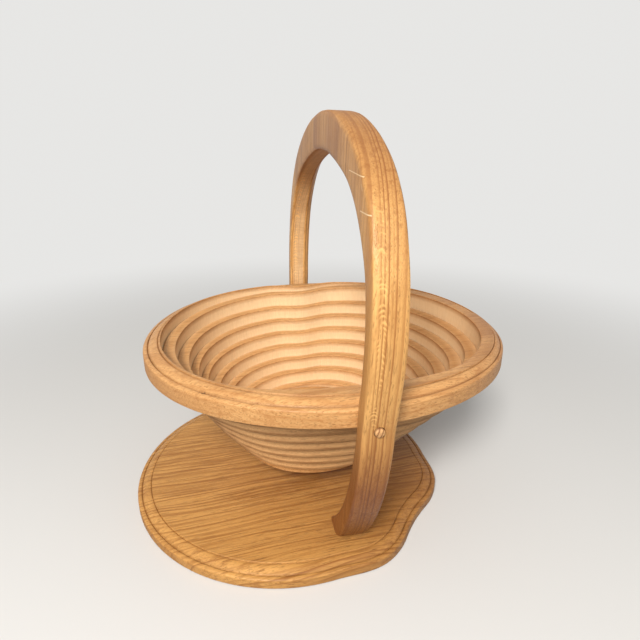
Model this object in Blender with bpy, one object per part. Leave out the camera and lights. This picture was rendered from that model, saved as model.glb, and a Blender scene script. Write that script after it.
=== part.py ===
"""Collapsible wooden basket: a board sawn along a spiral so that its middle drops out as a bowl.

The rim of the board hangs on two pegs in a folding handle, whose legs stand on a round base board.
The frame's origin is under the middle of the bowl, at the base board's underside. The two pegs lie
along Y, the dip in the rim's outline points to +Y and the saw cut starts on the +X side.
All lengths are in metres, +Z is up.
"""

import math

import bmesh
import bpy
from mathutils import Vector

# Clearance between pieces that touch or turn on each other
JOINT_GAP = 0.0003

# Base board
BASE_THICKNESS = 0.012
BASE_RADIUS = 0.1375
BASE_OFFSET_X = -0.026
BASE_OFFSET_Y = -0.003
BASE_SHOULDER = 0.005
BASE_DIP = 0.0035
BASE_DIP_ANGLE = math.radians(-43.3)
BASE_SHOULDER_ANGLE = math.radians(22.0)
BASE_SHOULDER_SPREAD = math.radians(17.0)
BASE_DIP_SPREAD = math.radians(14.0)
BASE_ROUT_WIDTH = 0.0125
BASE_ROUT_DEPTH = 0.005

# Centre dowel, on which the basket turns
DOWEL_RADIUS = 0.008
DOWEL_SEAT_DEPTH = 0.008
DOWEL_DEPTH_IN_DISC = 0.011

# Basket board, before it is opened
BOARD_THICKNESS = 0.018
RIM_OFFSET_X = 0.0107
RIM_OFFSET_Y = -0.0013
RIM_RADIUS = 0.1492
RIM_OVAL = 0.0046
RIM_SHOULDER_RIGHT = 0.008
RIM_SHOULDER_LEFT = 0.005
RIM_ROUT_WIDTH = 0.0125
RIM_ROUT_DEPTH = 0.006

# Land of the rim outside the saw cut
LAND_AT_START = 0.008
LAND_GAIN_LEFT = 0.00225
LAND_GAIN_NEAR_PEG = 0.0093
LAND_GAIN_FAR_PEG = 0.0112
NEAR_PEG_SPREAD = math.radians(42.0)
FAR_PEG_SPREAD = math.radians(17.0)
ROUT_MARGIN = 0.0007

# Spiral saw cut
KERF_WIDTH = 0.0016
KERF_SLANT = math.radians(2.5)
STRIP_WIDTH = 0.0088
HALF_TURNS = 15
FIRST_DROP = 0.011
HALF_TURN_DROP = 0.006
DISC_ABOVE_BASE = 0.025

# The first turns of the strip are wider on the left: by how much of the way in, where, how far round
LEFT_WIDE_SHARE = 0.045
LEFT_WIDE_PLACE = 5.0
LEFT_WIDE_PLACES = 4.4
LEFT_WIDE_SPREAD = math.radians(75.0)

# Handle
HANDLE_X = 0.0125
HANDLE_LEAN = math.radians(2.0)
HANDLE_THICKNESS = 0.022
LEG_CLEARANCE = 0.0022
CROWN_CLEARANCE = 0.0032
LEG_DEPTH_AT_PEG = 0.0130
LEG_DEPTH_AT_FOOT = 0.0160
CROWN_DEPTH = 0.0288
HANDLE_SOFT_EDGE = 0.003
HANDLE_CREST_EDGE = 0.002
HANDLE_ROUT_WIDTH = 0.008
HANDLE_ROUT_DEPTH = 0.006
FOOT_ROUND = 0.0078

# Pegs
PEG_RADIUS = 0.0034
PEG_RISE = 0.0058
PEG_DOME = 0.0016
PEG_PROUD = 0.0008
PEG_DEPTH_IN_RIM = 0.012

# One overrun for every cutter
CUT_OVERRUN = 0.006

# Mesh fineness
BASE_STATIONS = 72
RIM_STATIONS = 80
STRIP_STATIONS = 20
DISC_STATIONS = 40
HANDLE_STATIONS = 33
FOOT_STATIONS = 4
LEG_SAMPLES = 48
ROUND_SIDES = 24

# Routed edge: how far in from the edge, and how far below the face, as shares of its width and depth
ROUT_SHARES = (
    (0.00, 1.00),
    (0.02, 0.87),
    (0.14, 0.76),
    (0.30, 0.67),
    (0.46, 0.50),
    (0.60, 0.32),
    (0.76, 0.19),
    (1.00, 0.13),
    (1.00, 0.00),
)

# Arch of the handle from the peg level to the crown: shares of the half width and of the rise
ARCH_INNER_SHARES = (
    (1.000, 0.000),
    (1.003, 0.082),
    (1.020, 0.182),
    (1.023, 0.320),
    (1.013, 0.421),
    (0.985, 0.534),
    (0.955, 0.597),
    (0.905, 0.666),
    (0.850, 0.727),
    (0.785, 0.785),
    (0.715, 0.832),
    (0.630, 0.876),
    (0.545, 0.907),
    (0.450, 0.933),
    (0.350, 0.957),
    (0.180, 0.988),
    (0.000, 1.000),
)
ARCH_OUTER_SHARES = (
    (1.000, 0.000),
    (1.018, 0.096),
    (1.030, 0.186),
    (1.035, 0.261),
    (1.031, 0.340),
    (1.002, 0.479),
    (0.968, 0.564),
    (0.900, 0.681),
    (0.815, 0.766),
    (0.725, 0.828),
    (0.605, 0.885),
    (0.485, 0.928),
    (0.330, 0.967),
    (0.185, 0.989),
    (0.000, 1.000),
)

# Corner of a soft edge: shares of its radius
SOFT_CORNER_SHARES = ((0.0, 1.0), (0.29, 0.29), (1.0, 0.0))

# Domed end of a peg: share of its radius, share of the dome's height
DOME_SHARES = ((1.0, 0.0), (0.82, 0.55), (0.45, 0.88))

# Where the dip's side starts to fade from the far side to the near side of the rim
HALF_SHARE = 0.5

# Looks: base colour, roughness
BASE_WOOD = ((0.46, 0.20, 0.060), 0.42)
RIM_WOOD = ((0.50, 0.215, 0.062), 0.40)
SPIRAL_WOOD = ((0.42, 0.175, 0.050), 0.45)
HANDLE_WOOD = ((0.52, 0.225, 0.068), 0.40)
PEG_WOOD = ((0.60, 0.33, 0.13), 0.50)

# Sizes that follow from the ones above
KERF_HALF_TURNS = HALF_TURNS + 2
DISC_RADIUS = RIM_RADIUS + RIM_OVAL - LAND_AT_START - KERF_HALF_TURNS * (STRIP_WIDTH + KERF_WIDTH) / 2
DISC_UNDERSIDE = BASE_THICKNESS + DISC_ABOVE_BASE
TOTAL_DROP = FIRST_DROP + (HALF_TURNS - 1) * HALF_TURN_DROP
RIM_UNDERSIDE = DISC_UNDERSIDE + TOTAL_DROP
BOARD_MIDDLE = RIM_UNDERSIDE + BOARD_THICKNESS / 2
PEG_HEIGHT = RIM_UNDERSIDE + PEG_RISE
PEG_HOLE_RADIUS = PEG_RADIUS + JOINT_GAP
FOOT_LEVEL = BASE_THICKNESS + JOINT_GAP


def clear_scene():
    """Remove every object that the file starts with."""
    for item in list(bpy.data.objects):
        bpy.data.objects.remove(item, do_unlink=True)


def bump(angle, centre, spread):
    """Smooth hill of height 1 around an angle, zero past its spread."""
    away = (angle - centre + math.pi) % (2 * math.pi) - math.pi
    if abs(away) >= spread:
        return 0.0
    return math.cos(math.pi * away / (2 * spread)) ** 2


def smooth_step(value, start, end):
    """Ease from 0 to 1 between two values."""
    part = min(1.0, max(0.0, (value - start) / (end - start)))
    return part * part * (3 - 2 * part)


def wood_material(name, look):
    """Plain oiled wood in one colour."""
    colour, roughness = look
    material = bpy.data.materials.new(name)
    material.use_nodes = True
    shader = material.node_tree.nodes["Principled BSDF"]
    shader.inputs["Base Color"].default_value = (*colour, 1.0)
    shader.inputs["Roughness"].default_value = roughness
    shader.inputs["Metallic"].default_value = 0.0
    material.diffuse_color = (*colour, 1.0)
    return material


def add_object(name, vertices, faces, look, parent=None, location=(0, 0, 0), turn=0.0):
    """Make one mesh object with its own material, placed about its own origin."""
    mesh = bpy.data.meshes.new(name)
    build = bmesh.new()
    corners = [build.verts.new(vertex) for vertex in vertices]
    for face in faces:
        build.faces.new([corners[index] for index in face])
    bmesh.ops.recalc_face_normals(build, faces=build.faces[:])
    build.to_mesh(mesh)
    build.free()
    item = bpy.data.objects.new(name, mesh)
    bpy.context.scene.collection.objects.link(item)
    item.parent = parent
    item.location = location
    item.rotation_euler = (0.0, turn, 0.0)
    if look is not None:
        mesh.materials.append(wood_material(name + "_wood", look))
    return item


def shade_round(item, angle):
    """Smooth shading that keeps the real edges sharp."""
    item.data.shade_smooth()
    item.data.set_sharp_from_angle(angle=angle)


def add_empty(name, location, parent=None):
    """An empty on a joint axis."""
    item = bpy.data.objects.new(name, None)
    bpy.context.scene.collection.objects.link(item)
    item.parent = parent
    item.location = location
    return item


def add_cutter(name, radius, start, end, parent):
    """A hidden cylinder from one point to another, in its parent's coordinates."""
    axis = Vector(end) - Vector(start)
    mesh = bpy.data.meshes.new(name)
    build = bmesh.new()
    bmesh.ops.create_cone(
        build,
        cap_ends=True,
        segments=ROUND_SIDES,
        radius1=radius,
        radius2=radius,
        depth=axis.length,
    )
    build.to_mesh(mesh)
    build.free()
    cutter = bpy.data.objects.new(name, mesh)
    bpy.context.scene.collection.objects.link(cutter)
    cutter.parent = parent
    cutter.location = (Vector(start) + Vector(end)) / 2
    cutter.rotation_mode = "QUATERNION"
    cutter.rotation_quaternion = axis.to_track_quat("Z", "Y")
    cutter.hide_render = True
    cutter.display_type = "WIRE"
    return cutter


def cut_with(item, cutter):
    """Take the cutter's volume out of an object."""
    modifier = item.modifiers.new("cut_" + cutter.name, "BOOLEAN")
    modifier.operation = "DIFFERENCE"
    modifier.solver = "EXACT"
    modifier.object = cutter


# Outlines

def rim_radius(angle):
    """Rim outline from its middle. The angle runs clockwise from +Y, seen from above."""
    towards_right = (1 + math.sin(angle)) / 2
    shoulder = RIM_SHOULDER_RIGHT * towards_right + RIM_SHOULDER_LEFT * (1 - towards_right)
    shoulder *= math.sin(2 * angle) ** 2 * (1 + math.cos(angle)) / 2
    return RIM_RADIUS - RIM_OVAL * math.cos(2 * angle) + shoulder


def rim_half_width(x, side):
    """How far the rim reaches along Y at a given x: side +1 is the far side, -1 the near side."""
    reach = x - RIM_OFFSET_X
    low, high = 0.0, RIM_RADIUS + RIM_OVAL + RIM_SHOULDER_RIGHT
    for _ in range(60):
        middle = (low + high) / 2
        angle = math.atan2(reach, side * middle)
        if math.hypot(reach, middle) < rim_radius(angle):
            low = middle
        else:
            high = middle
    return low + side * RIM_OFFSET_Y


def rim_reach_left():
    """Furthest reach of the rim from the peg axis towards -X."""
    steps = [math.radians(180 + step) for step in range(0, 181)]
    return max(HANDLE_X - RIM_OFFSET_X - rim_radius(a) * math.sin(a) for a in steps)


def base_radius(angle):
    """Base board outline. The angle runs anticlockwise from +X."""
    shoulders = 0.0
    for side in (-1, 1):
        shoulders += bump(angle, BASE_DIP_ANGLE + side * BASE_SHOULDER_ANGLE, BASE_SHOULDER_SPREAD)
    dip = bump(angle, BASE_DIP_ANGLE, BASE_DIP_SPREAD)
    return BASE_RADIUS + BASE_SHOULDER * shoulders - BASE_DIP * dip


# Spiral saw cut. It runs anticlockwise seen from above, as it goes in and down. A place along it is
# a number of half turns from its start on the +X side.

def spiral_angle(place):
    """Angle of a place, clockwise from +Y seen from above."""
    return math.pi / 2 - math.pi * place


def spiral_share(place):
    """How far in a place of the saw cut is, from 0 at its start to 1 at its end."""
    wide = bump(spiral_angle(place), -math.pi / 2, LEFT_WIDE_SPREAD)
    away = min(1.0, abs(place - LEFT_WIDE_PLACE) / LEFT_WIDE_PLACES)
    wide *= math.cos(math.pi * away / 2) ** 2
    return place / KERF_HALF_TURNS + LEFT_WIDE_SHARE * wide


def land_width(angle):
    """Land of the rim outside the saw cut's first turn, before the spiral's own pitch is added."""
    land = LAND_AT_START + LAND_GAIN_LEFT * (1 - math.sin(angle)) / 2
    land += LAND_GAIN_NEAR_PEG * bump(angle, math.pi, NEAR_PEG_SPREAD)
    land += LAND_GAIN_FAR_PEG * bump(angle, 0.0, FAR_PEG_SPREAD)
    return land


def cut_point(place, aside, height):
    """Point beside the saw cut: aside is outwards from its middle line, height is from mid board."""
    angle = spiral_angle(place)
    share = spiral_share(place)
    first = rim_radius(angle) - land_width(angle)
    radius = first * (1 - share) + DISC_RADIUS * share + aside + height * math.tan(KERF_SLANT)
    x = RIM_OFFSET_X * (1 - share) + radius * math.sin(angle)
    y = RIM_OFFSET_Y * (1 - share) + radius * math.cos(angle)
    return Vector((x, y, height))


def cut_wall(place, side):
    """Bottom and top point of the cut's wall: side +1 is its outer wall, -1 its inner wall."""
    half_board = BOARD_THICKNESS / 2
    aside = side * KERF_WIDTH / 2
    return cut_point(place, aside, -half_board), cut_point(place, aside, half_board)


def to_split_line(point, side):
    """Move an end point onto the plane in which half turns meet, half a gap to its own side."""
    return Vector((point.x, side * JOINT_GAP / 2, point.z))


def junction(index):
    """Middle of the strip where half turn number index ends, in the flat board."""
    outer = cut_point(index, -KERF_WIDTH / 2, 0.0)
    inner = cut_point(index + 2, KERF_WIDTH / 2, 0.0)
    return Vector(((outer.x + inner.x) / 2, 0.0, 0.0))


def half_turn_tilt(index):
    """Tilt about +Y of a half turn in the opened basket, from 1 for the first."""
    drop = FIRST_DROP if index == 1 else HALF_TURN_DROP
    span = (junction(index) - junction(index - 1)).length
    sign = 1 if index % 2 == 0 else -1
    return sign * math.asin(drop / span)


def place_range(start, end, count):
    """Evenly spaced places, both ends included."""
    return [start + (end - start) * step / count for step in range(count + 1)]


def routed_points(width, depth):
    """Points of a routed edge: inset from the outline, depth below the face."""
    return [(share_in * width, share_down * depth) for share_in, share_down in ROUT_SHARES]


# Pieces

def build_base():
    """Round board with a routed top edge."""
    profile = [(0.0, 0.0)]
    for inset, depth in routed_points(BASE_ROUT_WIDTH, BASE_ROUT_DEPTH):
        profile.append((inset, BASE_THICKNESS - depth))
    vertices = []
    for step in range(BASE_STATIONS):
        angle = 2 * math.pi * step / BASE_STATIONS
        for inset, height in profile:
            radius = base_radius(angle) - inset
            x = BASE_OFFSET_X + radius * math.cos(angle)
            y = BASE_OFFSET_Y + radius * math.sin(angle)
            vertices.append((x, y, height))
    count = len(profile)
    faces = []
    for step in range(BASE_STATIONS):
        here = step * count
        after = ((step + 1) % BASE_STATIONS) * count
        for index in range(count - 1):
            faces.append((here + index, after + index, after + index + 1, here + index + 1))
    faces.append([step * count for step in range(BASE_STATIONS)])
    faces.append([step * count + count - 1 for step in range(BASE_STATIONS)])
    base = add_object("base_plate", vertices, faces, BASE_WOOD)
    seat = BASE_THICKNESS - DOWEL_SEAT_DEPTH
    cutter = add_cutter(
        "dowel_seat_cutter",
        DOWEL_RADIUS + JOINT_GAP,
        (0, 0, seat - JOINT_GAP),
        (0, 0, BASE_THICKNESS + CUT_OVERRUN),
        base,
    )
    cut_with(base, cutter)
    shade_round(base, math.radians(28))
    return base


def build_dowel(base):
    """Centre dowel, a plain round pin fixed in the base board."""
    bottom = BASE_THICKNESS - DOWEL_SEAT_DEPTH
    top = DISC_UNDERSIDE + DOWEL_DEPTH_IN_DISC
    mesh = bpy.data.meshes.new("centre_dowel")
    build = bmesh.new()
    bmesh.ops.create_cone(
        build,
        cap_ends=True,
        segments=ROUND_SIDES,
        radius1=DOWEL_RADIUS,
        radius2=DOWEL_RADIUS,
        depth=top - bottom,
    )
    build.to_mesh(mesh)
    build.free()
    dowel = bpy.data.objects.new("centre_dowel", mesh)
    bpy.context.scene.collection.objects.link(dowel)
    dowel.parent = base
    dowel.location = (0, 0, (top + bottom) / 2)
    mesh.materials.append(wood_material("centre_dowel_wood", PEG_WOOD))
    shade_round(dowel, math.radians(40))


def rout_scale(place):
    """Share of the routed edge's full width, where the land outside the saw cut leaves room."""
    _, outer = cut_wall(place, 1)
    angle = spiral_angle(place)
    middle = Vector((RIM_OFFSET_X, RIM_OFFSET_Y, outer.z))
    land = rim_radius(angle) - (outer - middle).length
    return min(1.0, (land - ROUT_MARGIN) / RIM_ROUT_WIDTH)


def build_rim(pivot):
    """Rim of the basket board, outside the saw cut's first turn, closed on itself at the cut's start."""
    half_board = BOARD_THICKNESS / 2
    places = place_range(0.0, 2.0, RIM_STATIONS)
    start_scale = rout_scale(0.0)
    profiles = []
    for place in places:
        angle = spiral_angle(place)
        back_to_start = smooth_step(place, 1.4, 2.0)
        scale = rout_scale(place) * (1 - back_to_start) + start_scale * back_to_start
        inner_bottom, inner_top = cut_wall(place, 1)
        insets = [(0.0, -half_board)]
        for inset, depth in routed_points(RIM_ROUT_WIDTH * scale, RIM_ROUT_DEPTH):
            insets.append((inset, half_board - depth))
        section = []
        for inset, height in insets:
            radius = rim_radius(angle) - inset
            x = RIM_OFFSET_X + radius * math.sin(angle)
            y = RIM_OFFSET_Y + radius * math.cos(angle)
            section.append(Vector((x, y, height)))
        section.append(inner_top)
        section.append(inner_bottom)
        profiles.append(section)
    profiles[0] = [to_split_line(point, -1) for point in profiles[0]]
    profiles[-1] = [to_split_line(point, -1) for point in profiles[-1]]
    outline_count = len(profiles[0]) - 2
    vertices = []
    for section in profiles[:-1]:
        vertices.extend(section)
    count = outline_count + 2
    stub_top = len(vertices)
    stub_bottom = stub_top + 1
    vertices.extend(profiles[-1][outline_count:])
    faces = []
    last = RIM_STATIONS - 1
    for step in range(last):
        here = step * count
        after = here + count
        for index in range(count):
            ahead = (index + 1) % count
            faces.append((here + index, after + index, after + ahead, here + ahead))
    here = last * count
    crest = outline_count - 1
    for index in range(crest):
        faces.append((here + index, index, index + 1, here + index + 1))
    start_top = outline_count
    start_bottom = outline_count + 1
    faces.append((here + crest, crest, start_top))
    faces.append((here + crest, start_top, stub_top, here + start_top))
    faces.append((here + start_top, stub_top, stub_bottom, here + start_bottom))
    faces.append((here + start_bottom, stub_bottom, start_bottom, here))
    faces.append((here, start_bottom, 0))
    faces.append((stub_top, start_top, start_bottom, stub_bottom))
    rim = add_object("rim_board", vertices, faces, RIM_WOOD, pivot, (0, 0, BOARD_MIDDLE))
    peg_level = PEG_HEIGHT - BOARD_MIDDLE
    for name, side in (("near_peg_cutter", -1), ("far_peg_cutter", 1)):
        outline = rim_half_width(HANDLE_X, side)
        inner_end = outline - PEG_DEPTH_IN_RIM - JOINT_GAP
        cutter = add_cutter(
            name,
            PEG_HOLE_RADIUS,
            (HANDLE_X, side * inner_end, peg_level),
            (HANDLE_X, side * (outline + CUT_OVERRUN), peg_level),
            rim,
        )
        cut_with(rim, cutter)
    shade_round(rim, math.radians(28))
    return rim


def strip_mesh(index):
    """Half turn of the spiral strip in the flat board, about the hinge line where it starts."""
    origin = junction(index - 1)
    side = 1 if index % 2 == 1 else -1
    sections = []
    for place in place_range(index - 1, index, STRIP_STATIONS):
        outer_bottom, outer_top = cut_wall(place, -1)
        inner_bottom, inner_top = cut_wall(place + 2, 1)
        sections.append([outer_bottom, outer_top, inner_top, inner_bottom])
    sections[0] = [to_split_line(point, side) for point in sections[0]]
    sections[-1] = [to_split_line(point, side) for point in sections[-1]]
    vertices = []
    for section in sections:
        vertices.extend(point - origin for point in section)
    faces = [(0, 1, 2, 3)]
    for step in range(STRIP_STATIONS):
        here = step * 4
        for corner in range(4):
            ahead = (corner + 1) % 4
            faces.append((here + corner, here + 4 + corner, here + 4 + ahead, here + ahead))
    end = STRIP_STATIONS * 4
    faces.append((end, end + 1, end + 2, end + 3))
    return vertices, faces


def build_spiral(rim):
    """Half turns of the bowl, each hung on the end of the one before it."""
    parent = rim
    before = Vector((0, 0, 0))
    tilt_before = 0.0
    for index in range(1, HALF_TURNS + 1):
        vertices, faces = strip_mesh(index)
        hinge = junction(index - 1)
        tilt = half_turn_tilt(index)
        name = "spiral_%02d" % index
        turn = tilt - tilt_before
        strip = add_object(name, vertices, faces, SPIRAL_WOOD, parent, hinge - before, turn)
        shade_round(strip, math.radians(28))
        parent = strip
        before = hinge
        tilt_before = tilt
    return parent, before, tilt_before


def build_disc(parent, before, tilt_before):
    """Bottom disc inside the last turn of the saw cut, level in the opened basket."""
    hinge = junction(HALF_TURNS)
    places = place_range(HALF_TURNS, HALF_TURNS + 2, DISC_STATIONS)
    walls = [cut_wall(place, -1) for place in places]
    side = 1 if HALF_TURNS % 2 == 0 else -1
    walls[0] = [to_split_line(point, side) for point in walls[0]]
    walls[-1] = [to_split_line(point, side) for point in walls[-1]]
    vertices = []
    for bottom, top in walls:
        vertices.append(bottom - hinge)
        vertices.append(top - hinge)
    faces = []
    for step in range(DISC_STATIONS):
        here = 2 * step
        faces.append((here, here + 2, here + 3, here + 1))
    end = 2 * DISC_STATIONS
    faces.append((0, 1, end + 1, end))
    faces.append([2 * step for step in range(DISC_STATIONS + 1)])
    faces.append([2 * step + 1 for step in range(DISC_STATIONS + 1)])
    disc = add_object(
        "bottom_disc", vertices, faces, SPIRAL_WOOD, parent, hinge - before, -tilt_before
    )
    bpy.context.view_layer.update()
    hole_top = DISC_UNDERSIDE + DOWEL_DEPTH_IN_DISC + JOINT_GAP
    cutter = add_cutter(
        "dowel_hole_cutter",
        DOWEL_RADIUS + JOINT_GAP,
        (0, 0, DISC_UNDERSIDE - CUT_OVERRUN),
        (0, 0, hole_top),
        None,
    )
    cut_with(disc, cutter)
    shade_round(disc, math.radians(28))
    return disc


def along_polyline(points, count):
    """Points at equal steps of length along a polyline, both ends included."""
    lengths = [0.0]
    for start, end in zip(points, points[1:]):
        lengths.append(lengths[-1] + math.dist(start, end))
    spread = []
    segment = 0
    for step in range(count + 1):
        wanted = lengths[-1] * step / count
        while segment < len(points) - 2 and lengths[segment + 1] < wanted:
            segment += 1
        span = lengths[segment + 1] - lengths[segment]
        part = (wanted - lengths[segment]) / span
        start, end = points[segment], points[segment + 1]
        spread.append(tuple(a + (b - a) * part for a, b in zip(start, end)))
    return spread


def smoothed(points, pieces):
    """Curve through the given points."""
    curve = []
    for index in range(len(points) - 1):
        before = points[max(0, index - 1)]
        start, end = points[index], points[index + 1]
        after = points[min(len(points) - 1, index + 2)]
        for piece in range(pieces):
            t = piece / pieces
            point = []
            for p0, p1, p2, p3 in zip(before, start, end, after):
                bend = 2 * p0 - 5 * p1 + 4 * p2 - p3
                twist = 3 * p1 - p0 - 3 * p2 + p3
                point.append((2 * p1 + (p2 - p0) * t + bend * t * t + twist * t * t * t) / 2)
            curve.append(tuple(point))
    curve.append(points[-1])
    return curve


def at_level(points, level):
    """Where a leg's contour, given from its top down, crosses a level."""
    for start, end in zip(points, points[1:]):
        if start[1] >= level >= end[1]:
            part = (start[1] - level) / (start[1] - end[1])
            return start[0] + (end[0] - start[0]) * part
    return points[-1][0]


def leg_contours(side):
    """Inner and outer contour of a leg, from the peg level down, that clear the rim when folded.

    Each point is a distance from the middle along Y and a height above the peg axis.
    """
    length = PEG_HEIGHT - FOOT_LEVEL
    inner = []
    for step in range(LEG_SAMPLES + 1):
        down = length * step / LEG_SAMPLES
        inner.append((rim_half_width(HANDLE_X + down, side) + LEG_CLEARANCE, -down))
    outer = []
    for index, point in enumerate(inner):
        before = inner[max(0, index - 1)]
        after = inner[min(LEG_SAMPLES, index + 1)]
        run = Vector((after[0] - before[0], after[1] - before[1])).normalized()
        share = index / LEG_SAMPLES
        depth = LEG_DEPTH_AT_PEG * (1 - share) + LEG_DEPTH_AT_FOOT * share
        outer.append((point[0] - run.y * depth, point[1] + run.x * depth))
    return inner, outer


def arch_contours(side):
    """Inner and outer contour of the arch from the crown down to the peg level."""
    inner_width = rim_half_width(HANDLE_X, side) + LEG_CLEARANCE
    outer_width = inner_width + LEG_DEPTH_AT_PEG
    inner_rise = rim_reach_left() + CROWN_CLEARANCE
    outer_rise = inner_rise + CROWN_DEPTH
    inner = [(a * inner_width, b * inner_rise) for a, b in reversed(ARCH_INNER_SHARES)]
    outer = [(a * outer_width, b * outer_rise) for a, b in reversed(ARCH_OUTER_SHARES)]
    return inner, outer


def handle_side(side):
    """Paired inner and outer points of one side, from the crown to the foot, and the ends' inset."""
    leg_inner, leg_outer = leg_contours(side)
    arch_inner, arch_outer = arch_contours(side)
    inner = smoothed(arch_inner, 4) + leg_inner[1:]
    outer_down = [point for point in leg_outer if point[1] < arch_outer[-2][1] / 2]
    outer = smoothed(arch_outer[:-1] + outer_down[::6] + [outer_down[-1]], 4)
    floor = FOOT_LEVEL - PEG_HEIGHT
    knee = floor + FOOT_ROUND
    inner_run = [point for point in inner if point[1] > knee] + [(at_level(inner, knee), knee)]
    outer_run = [point for point in outer if point[1] > knee] + [(at_level(outer, knee), knee)]
    pairs = []
    for near, far in zip(
        along_polyline(inner_run, HANDLE_STATIONS), along_polyline(outer_run, HANDLE_STATIONS)
    ):
        pairs.append((near, far, 0.0))
    for step in range(1, FOOT_STATIONS + 1):
        angle = math.pi / 2 * step / FOOT_STATIONS
        level = floor + FOOT_ROUND * (1 - math.sin(angle))
        inset = FOOT_ROUND * (1 - math.cos(angle))
        near = (at_level(inner, level) + inset, level)
        far = (at_level(outer, level) - inset, level)
        pairs.append((near, far, inset))
    return [((side * a, b), (side * c, d), inset) for (a, b), (c, d), inset in pairs]


def handle_section(near, far, inset):
    """Section of the handle between its inner and outer contour."""
    near = Vector(near)
    far = Vector(far)
    width = (far - near).length
    across = (far - near) / width
    left = -HANDLE_THICKNESS / 2 + inset
    right = HANDLE_THICKNESS / 2 - inset
    soft = HANDLE_SOFT_EDGE
    crest = HANDLE_CREST_EDGE
    shape = []
    for a, b in SOFT_CORNER_SHARES:
        shape.append((a * soft, left + b * soft))
    for a, b in reversed(SOFT_CORNER_SHARES):
        shape.append((width - a * soft, left + b * soft))
    for a, b in SOFT_CORNER_SHARES:
        shape.append((width - a * crest, right - b * crest))
    for share_in, share_down in reversed(ROUT_SHARES):
        shape.append((share_in * HANDLE_ROUT_WIDTH, right - share_down * HANDLE_ROUT_DEPTH))
    points = []
    for distance, x in shape:
        place = near + across * distance
        points.append((x, place.x, place.y))
    return points


def build_handle(pivot):
    """Arched handle with two legs, about the peg axis."""
    near_side = handle_side(-1)
    far_side = handle_side(1)
    stations = list(reversed(near_side)) + far_side[1:]
    vertices = []
    for near, far, inset in stations:
        vertices.extend(handle_section(near, far, inset))
    count = len(vertices) // len(stations)
    faces = [list(range(count))]
    for step in range(len(stations) - 1):
        here = step * count
        for index in range(count):
            ahead = (index + 1) % count
            faces.append((here + index, here + count + index, here + count + ahead, here + ahead))
    end = (len(stations) - 1) * count
    faces.append([end + index for index in range(count)])
    handle = add_object("handle", vertices, faces, HANDLE_WOOD, pivot, (0, 0, 0), HANDLE_LEAN)
    for name, side in (("near_leg_cutter", -1), ("far_leg_cutter", 1)):
        inner = rim_half_width(HANDLE_X, side) + LEG_CLEARANCE
        cutter = add_cutter(
            name,
            PEG_HOLE_RADIUS,
            (0, side * (inner - CUT_OVERRUN), 0),
            (0, side * (inner + LEG_DEPTH_AT_PEG + CUT_OVERRUN), 0),
            handle,
        )
        cut_with(handle, cutter)
    shade_round(handle, math.radians(28))
    return handle


def build_pegs(pivot):
    """Two dowels with domed heads through the legs into the rim's edge."""
    for name, side in (("near_peg", -1), ("far_peg", 1)):
        outline = rim_half_width(HANDLE_X, side)
        inner_end = outline - PEG_DEPTH_IN_RIM
        head = outline + LEG_CLEARANCE + LEG_DEPTH_AT_PEG + PEG_PROUD
        rings = [(PEG_RADIUS, inner_end), (PEG_RADIUS, head)]
        for share_out, share_up in DOME_SHARES[1:]:
            rings.append((share_out * PEG_RADIUS, head + share_up * PEG_DOME))
        vertices = []
        for radius, along in rings:
            for step in range(ROUND_SIDES):
                angle = 2 * math.pi * step / ROUND_SIDES
                vertices.append((radius * math.cos(angle), side * along, radius * math.sin(angle)))
        tip = len(vertices)
        vertices.append((0.0, side * (head + PEG_DOME), 0.0))
        faces = [list(range(ROUND_SIDES))]
        for ring in range(len(rings) - 1):
            here = ring * ROUND_SIDES
            for step in range(ROUND_SIDES):
                ahead = (step + 1) % ROUND_SIDES
                over = here + ROUND_SIDES
                faces.append((here + step, here + ahead, over + ahead, over + step))
        here = (len(rings) - 1) * ROUND_SIDES
        for step in range(ROUND_SIDES):
            faces.append((here + step, here + (step + 1) % ROUND_SIDES, tip))
        peg = add_object(name, vertices, faces, PEG_WOOD, pivot)
        shade_round(peg, math.radians(40))


def main():
    clear_scene()
    base = build_base()
    build_dowel(base)
    basket_pivot = add_empty("basket_pivot", (0, 0, 0))
    rim = build_rim(basket_pivot)
    last, before, tilt_before = build_spiral(rim)
    build_disc(last, before, tilt_before)
    peg_pivot = add_empty("peg_pivot", (HANDLE_X, 0, PEG_HEIGHT), basket_pivot)
    build_handle(peg_pivot)
    build_pegs(peg_pivot)


main()
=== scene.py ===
"""Dressed model of a collapsible wooden basket.

A thick board is sawn along a spiral, so that its middle drops out as a stepped bowl. The rim hangs
on two pegs in an arched handle, whose legs stand on a round base board. Every piece is built in
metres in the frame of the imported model, and adds its grain, sawn walls and fine routed edges.
"""

import math

import bmesh
import bpy
from mathutils import Matrix, Vector


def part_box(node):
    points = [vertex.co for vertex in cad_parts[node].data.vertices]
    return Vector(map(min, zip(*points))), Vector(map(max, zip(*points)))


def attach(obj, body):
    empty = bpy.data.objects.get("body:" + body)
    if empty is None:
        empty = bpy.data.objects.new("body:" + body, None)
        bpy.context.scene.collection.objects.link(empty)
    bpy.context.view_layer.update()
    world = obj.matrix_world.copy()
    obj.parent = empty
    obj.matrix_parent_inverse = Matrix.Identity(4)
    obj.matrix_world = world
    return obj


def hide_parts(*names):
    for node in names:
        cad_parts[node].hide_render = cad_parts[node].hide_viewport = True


bl_info = {
    "name": "Collapsible wooden basket",
    "version": (1, 0, 0),
    "blender": (4, 5, 0),
    "location": "View3D > Sidebar > Basket",
    "description": "Builds a collapsible wooden basket, its woods and a plain stage",
    "category": "Add Mesh",
}

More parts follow.
